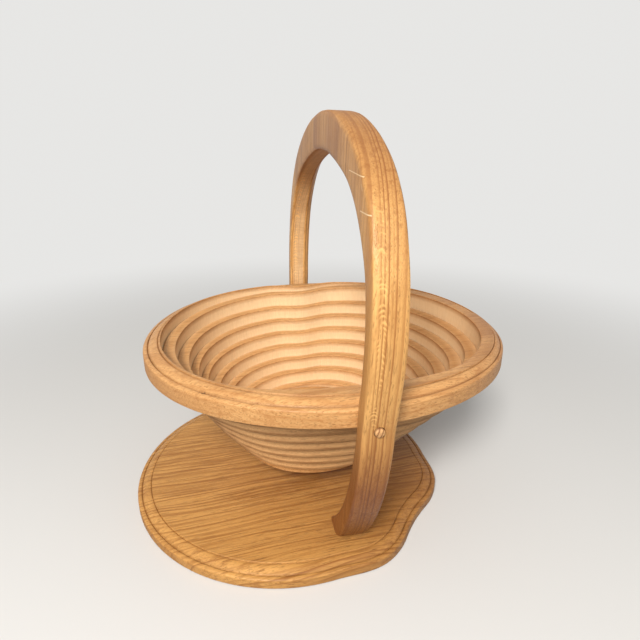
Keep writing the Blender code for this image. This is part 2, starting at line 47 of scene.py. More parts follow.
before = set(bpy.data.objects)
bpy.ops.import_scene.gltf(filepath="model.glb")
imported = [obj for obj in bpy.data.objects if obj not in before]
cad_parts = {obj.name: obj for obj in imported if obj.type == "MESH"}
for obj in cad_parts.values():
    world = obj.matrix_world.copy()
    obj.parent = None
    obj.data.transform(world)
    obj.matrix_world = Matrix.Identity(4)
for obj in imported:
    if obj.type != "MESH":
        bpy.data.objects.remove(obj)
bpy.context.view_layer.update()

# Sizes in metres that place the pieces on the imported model. Angles of the base board run
# anticlockwise from +X. First the base board, its two shoulders and the dip between them.
BASE_MIDDLE = Vector((-0.026, -0.003))
BASE_DIP_ANGLE = math.radians(-43.3)
BASE_SHOULDER_ANGLE = math.radians(22.0)
BASE_SHOULDER_SPREAD = math.radians(17.0)
BASE_DIP_SPREAD = math.radians(14.0)
BASE_SHOULDER = 0.005
BASE_DIP = 0.0035

# The dowel, its seats in the base board and the bottom, and the edge of its hole
DOWEL_RADIUS = 0.008
DOWEL_SEAT_DEPTH = 0.008
DOWEL_REACH_IN_DISC = 0.011
DOWEL_CHAMFER_SHARE = 1 / 8
HOLE_EASE = 0.0006

# The rim, its land outside the start of the saw cut, and what the land gains at three places
RIM_MIDDLE = Vector((0.0107, -0.0013))
RIM_SHOULDER_RIGHT = 0.008
RIM_SHOULDER_LEFT = 0.005
LAND_AT_START = 0.008
LAND_GAIN_LEFT = 0.00225
LAND_GAIN_NEAR_PEG = 0.0093
LAND_GAIN_FAR_PEG = 0.0112
NEAR_PEG_SPREAD = math.radians(42.0)
FAR_PEG_SPREAD = math.radians(17.0)
ROUT_MARGIN = 0.0007

# The saw cut and how far its half turns drop. At the left it lies further in than an even spiral,
# most of all at one place.
HALF_TURNS = 15
KERF_HALF_TURNS = HALF_TURNS + 2
FIRST_DROP = 0.011
HALF_TURN_DROP = 0.006
DISC_ABOVE_BASE = 0.025
LEFT_WIDE_SHARE = 0.045
LEFT_WIDE_PLACE = 5.0
LEFT_WIDE_PLACES = 4.4
LEFT_WIDE_SPREAD = math.radians(75.0)

# The handle and its pegs, and the gap in every joint
PEG_AXIS_X = 0.0125
LEG_CLEARANCE = 0.0022
CROWN_CLEARANCE = 0.0032
FOOT_ROUND = 0.0078
PEG_RISE = 0.0058
PEG_DOME = 0.0016
PEG_PROUD = 0.0008
PEG_DEPTH_IN_RIM = 0.012
JOINT_GAP = 0.0003

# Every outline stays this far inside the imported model's own
OIL_FILM = 0.0001

# Fineness of the meshes and of the search for the rim's outline
BASE_STATIONS = 300
RIM_STATIONS = 420
STRIP_STATIONS = 72
DISC_STATIONS = 160
HANDLE_STATIONS = 110
FOOT_STATIONS = 9
LEG_SAMPLES = 48
ROUND_SIDES = 48
ARRIS_STEPS = 3
ARCH_STEPS = 6
HALVINGS = 60

# A rounded corner takes up this share of each of its sides at most
ARRIS_LIMIT = 0.45

# The ring next to a rounded lower edge lies this many arrises further in
BASE_RING_INSET = 3
DISC_RING_INSET = 6

# An edge between two faces that turn more than this stays sharp
SHARP_EDGE = math.radians(38)

# How far a half turn's end is kept from its neighbour, in half turns
SPLIT_EASE = 0.0002

# How far each wall of the saw cut stands into it
KERF_EASE = 0.0004

# Share of a half turn over which its tilt eases into the next one's
TILT_EASE = 0.16

# Places of the rim over which its routed edge comes back to the width at its start
ROUT_RETURN = (1.4, 2.0)

# Routed edge of the boards, from the outer side to the top face: shares of its width and depth,
# softness as a share of its width, and how dark the painted shade in its grooves makes it
BOARD_ROUT_SHARES = (
    (0.00, 1.00, 0.09, 0.0),
    (0.03, 0.87, 0.0, 0.0),
    (0.10, 0.77, 0.0, 0.0),
    (0.19, 0.70, 0.0, 0.0),
    (0.27, 0.68, 0.02, 0.6),
    (0.315, 0.82, 0.0, 1.0),
    (0.36, 0.62, 0.03, 0.5),
    (0.42, 0.54, 0.0, 0.0),
    (0.50, 0.43, 0.0, 0.0),
    (0.60, 0.31, 0.0, 0.0),
    (0.72, 0.20, 0.0, 0.0),
    (0.84, 0.13, 0.0, 0.0),
    (0.92, 0.14, 0.0, 0.5),
    (0.965, 0.24, 0.0, 1.0),
    (1.00, 0.00, 0.03, 0.5),
)

# Routed right edge of the handle's inner side, in the same way, with painted shade in its grooves
HANDLE_ROUT_SHARES = (
    (0.00, 1.00, 0.05, 0.0),
    (0.03, 0.87, 0.0, 0.0),
    (0.12, 0.76, 0.0, 0.6),
    (0.18, 0.86, 0.0, 1.0),
    (0.25, 0.66, 0.0, 0.6),
    (0.40, 0.53, 0.0, 0.0),
    (0.54, 0.37, 0.0, 0.0),
    (0.68, 0.22, 0.0, 0.0),
    (0.84, 0.15, 0.0, 0.6),
    (0.93, 0.28, 0.0, 1.0),
    (1.00, 0.00, 0.05, 0.6),
)

# Walls that face the middle of the bowl, from the top down: share of their height, how fresh their
# wood is, how dark. Just under the top edge, the low freshness and the darkness are painted shade.
WALL_SHARES = ((0.05, 0.05, 0.55), (0.14, 0.40, 0.28), (0.30, 0.85, 0.0), (0.60, 1.00, 0.0))

# Top face of the sawn strip, from its outer to its inner side: share of its width, how fresh its
# wood is. It is fresh only up to this place of the saw cut. Then its worn inner edge.
STRIP_TOP_SHARES = ((0.0, 0.36), (0.25, 0.22), (0.60, 0.0))
STRIP_TOP_FADE = (0.0, 1.2)
WORN_EDGE_SAWN = 0.05

# Outer wall of the sawn strip, from the bottom up: share of its height, how dark. The dark band at
# its bottom is painted shade along the step to the next strip.
OUTER_WALL_SHARES = ((0.0, 1.0), (0.09, 0.95), (0.14, 0.0), (0.90, 0.0))

# Arch of the handle from the peg level to the crown: shares of the half width and of the rise
ARCH_INNER_SHARES = (
    (1.000, 0.000),
    (1.003, 0.082),
    (1.020, 0.182),
    (1.023, 0.320),
    (1.013, 0.421),
    (0.985, 0.534),
    (0.955, 0.597),
    (0.905, 0.666),
    (0.850, 0.727),
    (0.785, 0.785),
    (0.715, 0.832),
    (0.630, 0.876),
    (0.545, 0.907),
    (0.450, 0.933),
    (0.350, 0.957),
    (0.180, 0.988),
    (0.000, 1.000),
)
ARCH_OUTER_SHARES = (
    (1.000, 0.000),
    (1.018, 0.096),
    (1.030, 0.186),
    (1.035, 0.261),
    (1.031, 0.340),
    (1.002, 0.479),
    (0.968, 0.564),
    (0.900, 0.681),
    (0.815, 0.766),
    (0.725, 0.828),
    (0.605, 0.885),
    (0.485, 0.928),
    (0.330, 0.967),
    (0.185, 0.989),
    (0.000, 1.000),
)

# The handle's inner face starts this far past its edges, as a share of their sizes
INNER_FACE_START = 1.2

# Domed head of a peg: share of its radius, share of the dome's height
DOME_SHARES = ((1.0, 0.0), (0.97, 0.22), (0.88, 0.50), (0.72, 0.73), (0.50, 0.89), (0.25, 0.97))

# How dark each ring of a peg is, from its inner end to the foot of its dome
PEG_RING_SHARES = (1.0, 1.0, 0.8, 0.1)

# Look of a point with neither a dark line nor fresh wood: how dark and how fresh it is
PLAIN = (0.0, 0.0)

# Pale wood inside the saw cut, and how much of it shows on the outer walls and on the handle's
# inner face
SAWN_COLOUR = (0.950, 0.720, 0.430)
OUTER_WALL_SAWN = 0.14
HANDLE_INNER_SAWN = 0.45

# Scratches on the handle's left face, in metres from the pegs: the ends' Y and Z, and half the
# width. They stop at its edge, this far to the left of the handle's middle, and are full in this
# share of their width.
HANDLE_SCRATCHES = (
    ((-0.0984, 0.1474), (-0.1278, 0.1451), 0.0004),
    ((-0.1279, 0.1264), (-0.1495, 0.1259), 0.0005),
    ((-0.1266, 0.1412), (-0.1295, 0.1376), 0.0003),
)
SCRATCH_EDGE = -0.0088
SCRATCH_EDGE_EASE = 0.001
SCRATCH_CORE = 0.4
SCRATCH_SHARE = 0.70

# Ripples in the handle's grain, in millimetres: where their band lies across its thickness, how far
# it wavers, half its width, the share of that in which they are full, how far apart they are, how
# unevenly, and how much they bend. Then the parts of a step over which one rises and falls.
RIPPLE_MIDDLE = -7.0
RIPPLE_WAVER = 4.0
RIPPLE_REACH = 3.2
RIPPLE_CORE = 0.45
RIPPLE_STEP = 3.3
RIPPLE_UNEVEN = 3.0
RIPPLE_BEND = 0.27
RIPPLE_RISES = (0.0, 0.45)
RIPPLE_FALLS = (0.75, 0.48)
RIPPLES_START = (-8.0, 14.0)
RIPPLES_END = (150.0, 115.0)
RIPPLE_SHARE = 0.60
RIPPLE_PALENESS = 1.25

# Painted shade along the woods' grain, which darkens the handle towards its foot and its crown, and
# the base board and the board towards their right sides: from and to which place, and how much. The
# handle's places are heights from the pegs. Freshly sawn wood is spared this share of it.
FOOT_PAINTED_SHADE = (0.030, -0.060, 1.0)
CROWN_PAINTED_SHADE = (0.095, 0.165, 0.45)
BASE_PAINTED_SHADE = (-0.095, 0.085, 0.62)
BOARD_PAINTED_SHADE = (0.040, 0.150, 0.34)
SAWN_SPARED = 0.35

# The base board's routed lines carry less painted shade than the rim's
BASE_LINE_SHARE = 0.55

# A small knot in the rim's near left: its place in plan, its radius, the share of that in which it
# is full, how it is stretched, how much it covers, and its tone as a share of the dark grain's
RIM_KNOT = (-0.0917, -0.1059)
RIM_KNOT_RADIUS = 0.0012
RIM_KNOT_CORE = 0.4
RIM_KNOT_STRETCH = (0.6, 1.0, 0.0)
RIM_KNOT_SHARE = 0.85
RIM_KNOT_TONE = 0.25

# Direction of the grain in plan, from +X
BASE_GRAIN_TURN = math.radians(4.0)
BOARD_GRAIN_TURN = math.radians(5.0)


# Settings

def length_setting(name, description, default):
    """A length in metres, never negative."""
    return bpy.props.FloatProperty(
        name=name,
        description=description,
        default=default,
        min=0.0,
        precision=4,
        unit="LENGTH",
    )


def colour_setting(name, description, default):
    """A plain colour."""
    return bpy.props.FloatVectorProperty(
        name=name,
        description=description,
        default=default,
        min=0.0,
        max=1.0,
        size=3,
        subtype="COLOR",
    )


class BasketBaseSizes(bpy.types.PropertyGroup):
    """Sizes of the round base board"""

    thickness: length_setting("Thickness", "Thickness of the base board", 0.012)
    radius: length_setting("Radius", "Radius of the base board beside its dip", 0.1375)
    rout_width: length_setting("Rout width", "Width of the routed top edge", 0.0125)
    rout_depth: length_setting("Rout depth", "Depth of the routed top edge", 0.005)
    arris: length_setting("Arris", "Rounding of the lower edge", 0.0011)


class BasketBoardSizes(bpy.types.PropertyGroup):
    """Sizes of the sawn basket board"""

    thickness: length_setting("Thickness", "Thickness of the basket board", 0.018)
    radius: length_setting("Radius", "Mean radius of the rim", 0.1492)
    oval: length_setting("Oval", "How much longer than round the rim is each way", 0.0046)
    rout_width: length_setting("Rout width", "Width of the rim's routed edge", 0.0125)
    rout_depth: length_setting("Rout depth", "Depth of the rim's routed edge", 0.006)
    kerf: length_setting("Kerf", "Width of the saw cut", 0.0016)
    strip_width: length_setting("Strip width", "Width of the strip between two saw cuts", 0.0088)
    arris: length_setting("Arris", "Rounding of the sawn edges", 0.0005)
    worn_edge: length_setting("Worn edge", "Rounding of the upper inner edges", 0.0017)
    slant: bpy.props.FloatProperty(
        name="Slant",
        description="Slant of the saw cut from upright",
        default=math.radians(2.5),
        subtype="ANGLE",
        unit="ROTATION",
    )


class BasketHandleSizes(bpy.types.PropertyGroup):
    """Sizes of the arched handle and its pegs"""

    thickness: length_setting("Thickness", "Thickness of the handle", 0.022)
    leg_at_peg: length_setting("Leg at peg", "Depth of a leg at its peg", 0.013)
    leg_at_foot: length_setting("Leg at foot", "Depth of a leg at its foot", 0.016)
    crown: length_setting("Crown", "Depth of the arch at its crown", 0.0288)
    soft_edge: length_setting("Soft edge", "Rounding of the left edges", 0.0044)
    crest_edge: length_setting("Crest edge", "Rounding of the right outer edge", 0.0026)
    rout_width: length_setting("Rout width", "Width of the routed inner edge", 0.008)
    rout_depth: length_setting("Rout depth", "Depth of the routed inner edge", 0.006)
    peg_radius: length_setting("Peg radius", "Radius of the two pegs", 0.0034)
    lean: bpy.props.FloatProperty(
        name="Lean",
        description="Lean of the handle from upright",
        default=math.radians(2.0),
        subtype="ANGLE",
        unit="ROTATION",
    )


class BasketWoodColours(bpy.types.PropertyGroup):
    """Light and dark tones of the woods"""

    base_light: colour_setting("Base light", "Pale wood of the base board", (0.735, 0.385, 0.112))
    base_dark: colour_setting("Base dark", "Grain lines of the base board", (0.285, 0.102, 0.019))
    board_light: colour_setting("Board light", "Pale wood of the bowl", (0.740, 0.410, 0.160))
    board_dark: colour_setting("Board dark", "Grain lines of the bowl", (0.400, 0.158, 0.042))
    handle_light: colour_setting("Handle light", "Pale wood of the handle", (0.820, 0.458, 0.156))
    handle_dark: colour_setting("Handle dark", "Grain lines of the handle", (0.345, 0.130, 0.031))
    peg_light: colour_setting("Peg light", "Pale wood of the pegs", (0.780, 0.440, 0.190))
    peg_dark: colour_setting("Peg dark", "Grain lines of the pegs", (0.190, 0.066, 0.018))


class BasketStageSettings(bpy.types.PropertyGroup):
    """Floor and lamps"""

    floor: colour_setting("Floor", "Colour of the floor", (0.72, 0.715, 0.70))
    floor_glow: colour_setting("Floor glow", "Light sent back by the floor", (0.30, 0.29, 0.275))
    backdrop: colour_setting("Backdrop", "Colour behind the floor", (0.80, 0.795, 0.78))
    key_power: bpy.props.FloatProperty(
        name="Key lamp", description="Power of the main lamp", default=29.0, min=0.0, unit="POWER"
    )
    fill_power: bpy.props.FloatProperty(
        name="Fill lamp", description="Power of the fill lamp", default=1.6, min=0.0, unit="POWER"
    )
    sky: bpy.props.FloatProperty(
        name="Sky", description="Brightness of the even light from all sides", default=0.36, min=0.0
    )


# Shapes shared by the pieces

def bump(angle, centre, spread):
    """Smooth hill of height 1 around an angle, zero past its spread."""
    away = (angle - centre + math.pi) % (2 * math.pi) - math.pi
    if abs(away) >= spread:
        return 0.0
    return math.cos(math.pi * away / (2 * spread)) ** 2


def eased(value, start, end):
    """Ease from 0 to 1 between two values."""
    part = min(1.0, max(0.0, (value - start) / (end - start)))
    return part * part * (3 - 2 * part)


def arris_points(before, corner, after, reach):
    """Points of a rounded corner, reach along each side of it."""
    back = before - corner
    ahead = after - corner
    start = corner + back.normalized() * min(reach, ARRIS_LIMIT * back.length)
    end = corner + ahead.normalized() * min(reach, ARRIS_LIMIT * ahead.length)
    points = []
    for step in range(ARRIS_STEPS + 1):
        t = step / ARRIS_STEPS
        points.append(start * (1 - t) ** 2 + corner * (2 * t * (1 - t)) + end * t ** 2)
    return points


def finished_line(rows, closed=False):
    """A line with its corners rounded, and the look of each of its points.

    A row is a corner, how far along its sides it is rounded, how dark it is and how freshly sawn.
    """
    corners = [row[0] for row in rows]
    line = []
    looks = []
    for index, (corner, reach, dark, fresh) in enumerate(rows):
        at_end = not closed and index in (0, len(rows) - 1)
        if at_end or reach <= 0:
            points = [corner]
        else:
            after = corners[(index + 1) % len(rows)]
            points = arris_points(corners[index - 1], corner, after, reach)
        line.extend(points)
        looks.extend([(dark, fresh)] * len(points))
    return line, looks


def routed_rows(shares, width, depth):
    """Inset, depth below the face, softness and darkness of each corner of a routed edge."""
    return [(a * width, b * depth, c * width, dark) for a, b, c, dark in shares]


def smoothed(points, pieces):
    """Curve through the given points."""
    curve = []
    for index in range(len(points) - 1):
        before = points[max(0, index - 1)]
        start, end = points[index], points[index + 1]
        after = points[min(len(points) - 1, index + 2)]
        for piece in range(pieces):
            t = piece / pieces
            point = []
            for p0, p1, p2, p3 in zip(before, start, end, after):
                bend = 2 * p0 - 5 * p1 + 4 * p2 - p3
                twist = 3 * p1 - p0 - 3 * p2 + p3
                point.append((2 * p1 + (p2 - p0) * t + bend * t * t + twist * t * t * t) / 2)
            curve.append(tuple(point))
    curve.append(points[-1])
    return curve


def along_line(points, count):
    """Points at equal steps of length along a line, both ends included."""
    lengths = [0.0]
    for start, end in zip(points, points[1:]):
        lengths.append(lengths[-1] + math.dist(start, end))
    spread = []
    segment = 0
    for step in range(count + 1):
        wanted = lengths[-1] * step / count
        while segment < len(points) - 2 and lengths[segment + 1] < wanted:
            segment += 1
        span = lengths[segment + 1] - lengths[segment]
        part = (wanted - lengths[segment]) / span
        start, end = points[segment], points[segment + 1]
        spread.append(tuple(a + (b - a) * part for a, b in zip(start, end)))
    return spread


def at_level(points, level):
    """Where a leg's contour, given from its top down, crosses a level."""
    for start, end in zip(points, points[1:]):
        if start[1] >= level >= end[1]:
            part = (start[1] - level) / (start[1] - end[1])
            return start[0] + (end[0] - start[0]) * part
    return points[-1][0]


def skirt_faces(columns, count, around):
    """Quads between columns of count points. Around says that the last column meets the first."""
    faces = []
    for step in range(columns if around else columns - 1):
        here = step * count
        after = (step + 1) % columns * count
        for index in range(count - 1):
            faces.append((here + index, after + index, after + index + 1, here + index + 1))
    return faces


def lofted_faces(sections, count):
    """Faces of a loft through closed sections of count points, with its two ends."""
    faces = []
    for step in range(sections - 1):
        here = step * count
        for index in range(count):
            ahead = (index + 1) % count
            faces.append((here + index, here + count + index, here + count + ahead, here + ahead))
    faces.append(list(range(count)))
    faces.append([(sections - 1) * count + index for index in range(count)])
    return faces


def turned_rings(rings, middle, across, over):
    """Round piece from rings of radius and height along the axis that across and over leave."""
    along = across.cross(over)
    vertices = []
    for radius, height in rings:
        for step in range(ROUND_SIDES):
            angle = 2 * math.pi * step / ROUND_SIDES
            side = across * math.cos(angle) + over * math.sin(angle)
            vertices.append(middle + side * radius + along * height)
    faces = [list(range(ROUND_SIDES))]
    for ring in range(len(rings) - 1):
        here = ring * ROUND_SIDES
        after = here + ROUND_SIDES
        for step in range(ROUND_SIDES):
            ahead = (step + 1) % ROUND_SIDES
            faces.append((here + step, here + ahead, after + ahead, after + step))
    last = (len(rings) - 1) * ROUND_SIDES
    faces.append([last + step for step in range(ROUND_SIDES)])
    return vertices, faces


def add_piece(name, vertices, faces, wood, places=None, looks=None):
    """Make a mesh object.

    Places are its points in the plank they were sawn from, with X along the grain. Looks say for
    each point how dark it is painted and how freshly sawn its wood is.
    """
    mesh = bpy.data.meshes.new(name)
    build = bmesh.new()
    place_layer = build.verts.layers.float_vector.new("plank_place")
    line_layer = build.verts.layers.float.new("dark_line")
    sawn_layer = build.verts.layers.float.new("sawn_wall")
    corners = []
    for index, vertex in enumerate(vertices):
        corner = build.verts.new(vertex)
        corner[place_layer] = places[index] if places else vertex
        corner[line_layer], corner[sawn_layer] = looks[index] if looks else PLAIN
        corners.append(corner)
    for face in faces:
        build.faces.new([corners[corner] for corner in face])
    bmesh.ops.recalc_face_normals(build, faces=build.faces[:])
    build.to_mesh(mesh)
    build.free()
    smooth_shading(mesh)
    mesh.materials.append(wood)
    piece = bpy.data.objects.new(name, mesh)
    bpy.context.scene.collection.objects.link(piece)
    return piece


def smooth_shading(mesh):
    """Shade a mesh smooth up to its sharp edges."""
    mesh.shade_smooth()
    mesh.set_sharp_from_angle(angle=SHARP_EDGE)


def settle(piece, body, slot, *nodes):
    """Let a piece ride on its body and stand for its nodes."""
    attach(piece, body)
    if nodes:
        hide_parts(*nodes)


def plan_turn(point, turn):
    """A point's place in a plank whose grain is turned in plan."""
    c, s = math.cos(turn), math.sin(turn)
    return Vector((point.x * c + point.y * s, point.y * c - point.x * s, point.z))


# Base board

def base_radius(base, angle):
    """Base board outline. The angle runs anticlockwise from +X."""
    shoulders = 0.0
    for side in (-1, 1):
        shoulders += bump(angle, BASE_DIP_ANGLE + side * BASE_SHOULDER_ANGLE, BASE_SHOULDER_SPREAD)
    dip = bump(angle, BASE_DIP_ANGLE, BASE_DIP_SPREAD)
    return base.radius - OIL_FILM + BASE_SHOULDER * shoulders - BASE_DIP * dip


def base_profile(base):
    """Edge of the base board from its underside to its top face, as inset and height."""
    rows = [
        (Vector((BASE_RING_INSET * base.arris, 0.0)), 0.0, *PLAIN),
        (Vector((0.0, 0.0)), base.arris, *PLAIN),
    ]
    rout = routed_rows(BOARD_ROUT_SHARES, base.rout_width, base.rout_depth)
    for inset, depth, soft, dark in rout:
        rows.append((Vector((inset, base.thickness - depth)), soft, BASE_LINE_SHARE * dark, 0.0))
    rows.append((Vector((base.rout_width + base.arris, base.thickness)), 0.0, *PLAIN))
    return finished_line(rows)


class BASKET_OT_base_board(bpy.types.Operator):
    """Build the round base board with its routed edge and the seat for the dowel"""

    bl_idname = "basket.base_board"
    bl_label = "Base board"

    def execute(self, context):
        base = context.scene.basket_base
        profile, profile_looks = base_profile(base)
        hole = DOWEL_RADIUS + JOINT_GAP
        hole_rings = [
            (hole + HOLE_EASE, base.thickness),
            (hole + HOLE_EASE / 3, base.thickness - HOLE_EASE / 3),
            (hole, base.thickness - HOLE_EASE),
            (hole, base.thickness - DOWEL_SEAT_DEPTH),
        ]
        vertices = []
        for step in range(BASE_STATIONS):
            angle = 2 * math.pi * step / BASE_STATIONS
            outline = base_radius(base, angle)
            direction = Vector((math.cos(angle), math.sin(angle)))
            for point in profile:
                place = BASE_MIDDLE + direction * (outline - point.x)
                vertices.append(Vector((place.x, place.y, point.y)))
            for radius, height in hole_rings:
                vertices.append(Vector((direction.x * radius, direction.y * radius, height)))
        count = len(profile) + len(hole_rings)
        faces = skirt_faces(BASE_STATIONS, count, around=True)
        faces.append([step * count for step in range(BASE_STATIONS)])
        faces.append([step * count + count - 1 for step in range(BASE_STATIONS)])
        places = [plan_turn(vertex, BASE_GRAIN_TURN) for vertex in vertices]
        looks = (profile_looks + [PLAIN] * len(hole_rings)) * BASE_STATIONS
        wood = wood_named(context, "oiled_base")
        piece = add_piece("base_board", vertices, faces, wood, places, looks)
        settle(piece, "base", "base_wood", "base_plate")
        return {"FINISHED"}


class BASKET_OT_centre_pin(bpy.types.Operator):
    """Build the upright dowel on which the basket turns"""

    bl_idname = "basket.centre_pin"
    bl_label = "Centre pin"

    def execute(self, context):
        low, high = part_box("centre_dowel")
        radius = DOWEL_RADIUS - OIL_FILM
        chamfer = radius * DOWEL_CHAMFER_SHARE
        rings = [
            (radius - chamfer, low.z),
            (radius, low.z + chamfer),
            (radius, high.z - chamfer),
            (radius - chamfer, high.z),
        ]
        across, over = Vector((1, 0, 0)), Vector((0, 1, 0))
        vertices, faces = turned_rings(rings, Vector(), across, over)
        places = [Vector((vertex.z, vertex.x, vertex.y)) for vertex in vertices]
        wood = wood_named(context, "oiled_peg")
        piece = add_piece("centre_pin", vertices, faces, wood, places)
        settle(piece, "base", "peg_wood", "centre_dowel")
        return {"FINISHED"}


# Basket board. The saw cut runs anticlockwise seen from above, as it goes in and down. A place
# along it is a number of half turns from its start on the +X side.

def rim_radius(board, angle):
    """Rim outline from its middle. The angle runs clockwise from +Y, seen from above."""
    towards_right = (1 + math.sin(angle)) / 2
    shoulder = RIM_SHOULDER_RIGHT * towards_right + RIM_SHOULDER_LEFT * (1 - towards_right)
    shoulder *= math.sin(2 * angle) ** 2 * (1 + math.cos(angle)) / 2
    return board.radius - board.oval * math.cos(2 * angle) + shoulder


def rim_half_width(board, x, side):
    """How far the rim reaches along Y at a given x: side +1 is the far side, -1 the near side."""
    reach = x - RIM_MIDDLE.x
    low, high = 0.0, board.radius + board.oval + RIM_SHOULDER_RIGHT
    for _ in range(HALVINGS):
        middle = (low + high) / 2
        angle = math.atan2(reach, side * middle)
        if math.hypot(reach, middle) < rim_radius(board, angle):
            low = middle
        else:
            high = middle
    return low + side * RIM_MIDDLE.y


def rim_reach_left(board):
    """Furthest reach of the rim from the peg axis towards -X."""
    steps = [math.radians(180 + step) for step in range(181)]
    return max(PEG_AXIS_X - RIM_MIDDLE.x - rim_radius(board, a) * math.sin(a) for a in steps)


def disc_radius(board):
    """Radius of the bottom disc, inside the last turn of the saw cut."""
    pitch = (board.strip_width + board.kerf) / 2
    return board.radius + board.oval - LAND_AT_START - KERF_HALF_TURNS * pitch


def spiral_angle(place):
    """Angle of a place, clockwise from +Y seen from above."""
    return math.pi / 2 - math.pi * place


def spiral_share(place):
    """How far in a place of the saw cut is, from 0 at its start to 1 at its end."""
    wide = bump(spiral_angle(place), -math.pi / 2, LEFT_WIDE_SPREAD)
    away = min(1.0, abs(place - LEFT_WIDE_PLACE) / LEFT_WIDE_PLACES)
    wide *= math.cos(math.pi * away / 2) ** 2
    return place / KERF_HALF_TURNS + LEFT_WIDE_SHARE * wide


def land_width(angle):
    """Land of the rim outside the saw cut's first turn, before the spiral's own pitch is added."""
    land = LAND_AT_START + LAND_GAIN_LEFT * (1 - math.sin(angle)) / 2
    land += LAND_GAIN_NEAR_PEG * bump(angle, math.pi, NEAR_PEG_SPREAD)
    land += LAND_GAIN_FAR_PEG * bump(angle, 0.0, FAR_PEG_SPREAD)
    return land


def cut_point(board, place, aside, height):
    """Point beside the saw cut: aside is outwards from its middle, height is from mid board."""
    angle = spiral_angle(place)
    share = spiral_share(place)
    first = rim_radius(board, angle) - land_width(angle)
    radius = first * (1 - share) + disc_radius(board) * share + aside
    radius += height * math.tan(board.slant)
    x = RIM_MIDDLE.x * (1 - share) + radius * math.sin(angle)
    y = RIM_MIDDLE.y * (1 - share) + radius * math.cos(angle)
    return Vector((x, y, height))


def cut_wall(board, place, side):
    """Bottom and top point of the cut's wall: side +1 is its outer wall, -1 its inner wall."""
    half_board = board.thickness / 2 - OIL_FILM
    aside = side * (board.kerf / 2 - KERF_EASE)
    bottom = cut_point(board, place, aside, -half_board)
    top = cut_point(board, place, aside, half_board)
    return bottom, top


def junction(board, index):
    """Middle of the strip where half turn number index ends, in the flat board."""
    outer = cut_point(board, index, -board.kerf / 2, 0.0)
    inner = cut_point(board, index + 2, board.kerf / 2, 0.0)
    return Vector(((outer.x + inner.x) / 2, 0.0, 0.0))


def half_turn_tilt(board, index):
    """Tilt about +Y of a half turn in the opened basket. The first one's index is 1."""
    drop = FIRST_DROP if index == 1 else HALF_TURN_DROP
    span = (junction(board, index) - junction(board, index - 1)).length
    sign = 1 if index % 2 == 0 else -1
    return sign * math.asin(drop / span)


def board_middle(context):
    """Height of the middle of the rim's thickness."""
    drop = FIRST_DROP + (HALF_TURNS - 1) * HALF_TURN_DROP
    underside = context.scene.basket_base.thickness + DISC_ABOVE_BASE + drop
    return underside + context.scene.basket_board.thickness / 2


def hinge_points(context):
    """Where each half turn starts, in the opened basket."""
    board = context.scene.basket_board
    hinges = [junction(board, 0) + Vector((0, 0, board_middle(context)))]
    for index in range(1, HALF_TURNS + 1):
        run = junction(board, index) - junction(board, index - 1)
        turn = Matrix.Rotation(half_turn_tilt(board, index), 3, "Y")
        hinges.append(hinges[-1] + turn @ run)
    return hinges


def rout_scale(board, place):
    """Share of the routed edge's full width, where the land outside the saw cut leaves room."""
    _, outer = cut_wall(board, place, 1)
    angle = spiral_angle(place)
    middle = Vector((RIM_MIDDLE.x, RIM_MIDDLE.y, outer.z))
    land = rim_radius(board, angle) - (outer - middle).length
    return min(1.0, (land - ROUT_MARGIN) / board.rout_width)


def rim_section(board, place, start_scale):
    """Closed section of the rim at a place, in the flat board, and its looks."""
    half_board = board.thickness / 2 - OIL_FILM
    angle = spiral_angle(place)
    back = eased(place, *ROUT_RETURN)
    scale = rout_scale(board, place) * (1 - back) + start_scale * back
    edge = [(0.0, board.thickness - OIL_FILM, 2 * board.arris, 0.0)]
    edge += routed_rows(BOARD_ROUT_SHARES, board.rout_width * scale, board.rout_depth)
    rows = []
    for inset, depth, soft, dark in edge:
        radius = rim_radius(board, angle) - OIL_FILM - inset
        x = RIM_MIDDLE.x + radius * math.sin(angle)
        y = RIM_MIDDLE.y + radius * math.cos(angle)
        corner = Vector((x, y, max(-half_board, half_board - depth)))
        rows.append((corner, soft, dark, 0.0))
    bottom, top = cut_wall(board, place, 1)
    rows.append((top, board.worn_edge, *PLAIN))
    rows += inner_wall_rows(board, bottom, top)
    return finished_line(rows, closed=True)


def inner_wall_rows(board, bottom, top):
    """Rows of a wall that faces the middle of the bowl, from below its top to its bottom."""
    rows = [(top.lerp(bottom, share), 0.0, dark, fresh) for share, fresh, dark in WALL_SHARES]
    return rows + [(bottom, board.arris, 0.0, 1.0)]


class BASKET_OT_rim(bpy.types.Operator):
    """Build the rim of the basket board, outside the first turn of the saw cut"""

    bl_idname = "basket.rim"
    bl_label = "Rim"

    def execute(self, context):
        board = context.scene.basket_board
        start_scale = rout_scale(board, 0.0)
        flat = []
        looks = []
        for step in range(RIM_STATIONS + 1):
            place = SPLIT_EASE + (2.0 - 2 * SPLIT_EASE) * step / RIM_STATIONS
            section, section_looks = rim_section(board, place, start_scale)
            flat.extend(section)
            looks.extend(section_looks)
        faces = lofted_faces(RIM_STATIONS + 1, len(section))
        lift = Vector((0, 0, board_middle(context)))
        vertices = [point + lift for point in flat]
        places = [plan_turn(point, BOARD_GRAIN_TURN) for point in flat]
        wood = wood_named(context, "oiled_rim")
        piece = add_piece("rim_ring", vertices, faces, wood, places, looks)
        settle(piece, "rim", "rim_wood", "rim_board")
        return {"FINISHED"}


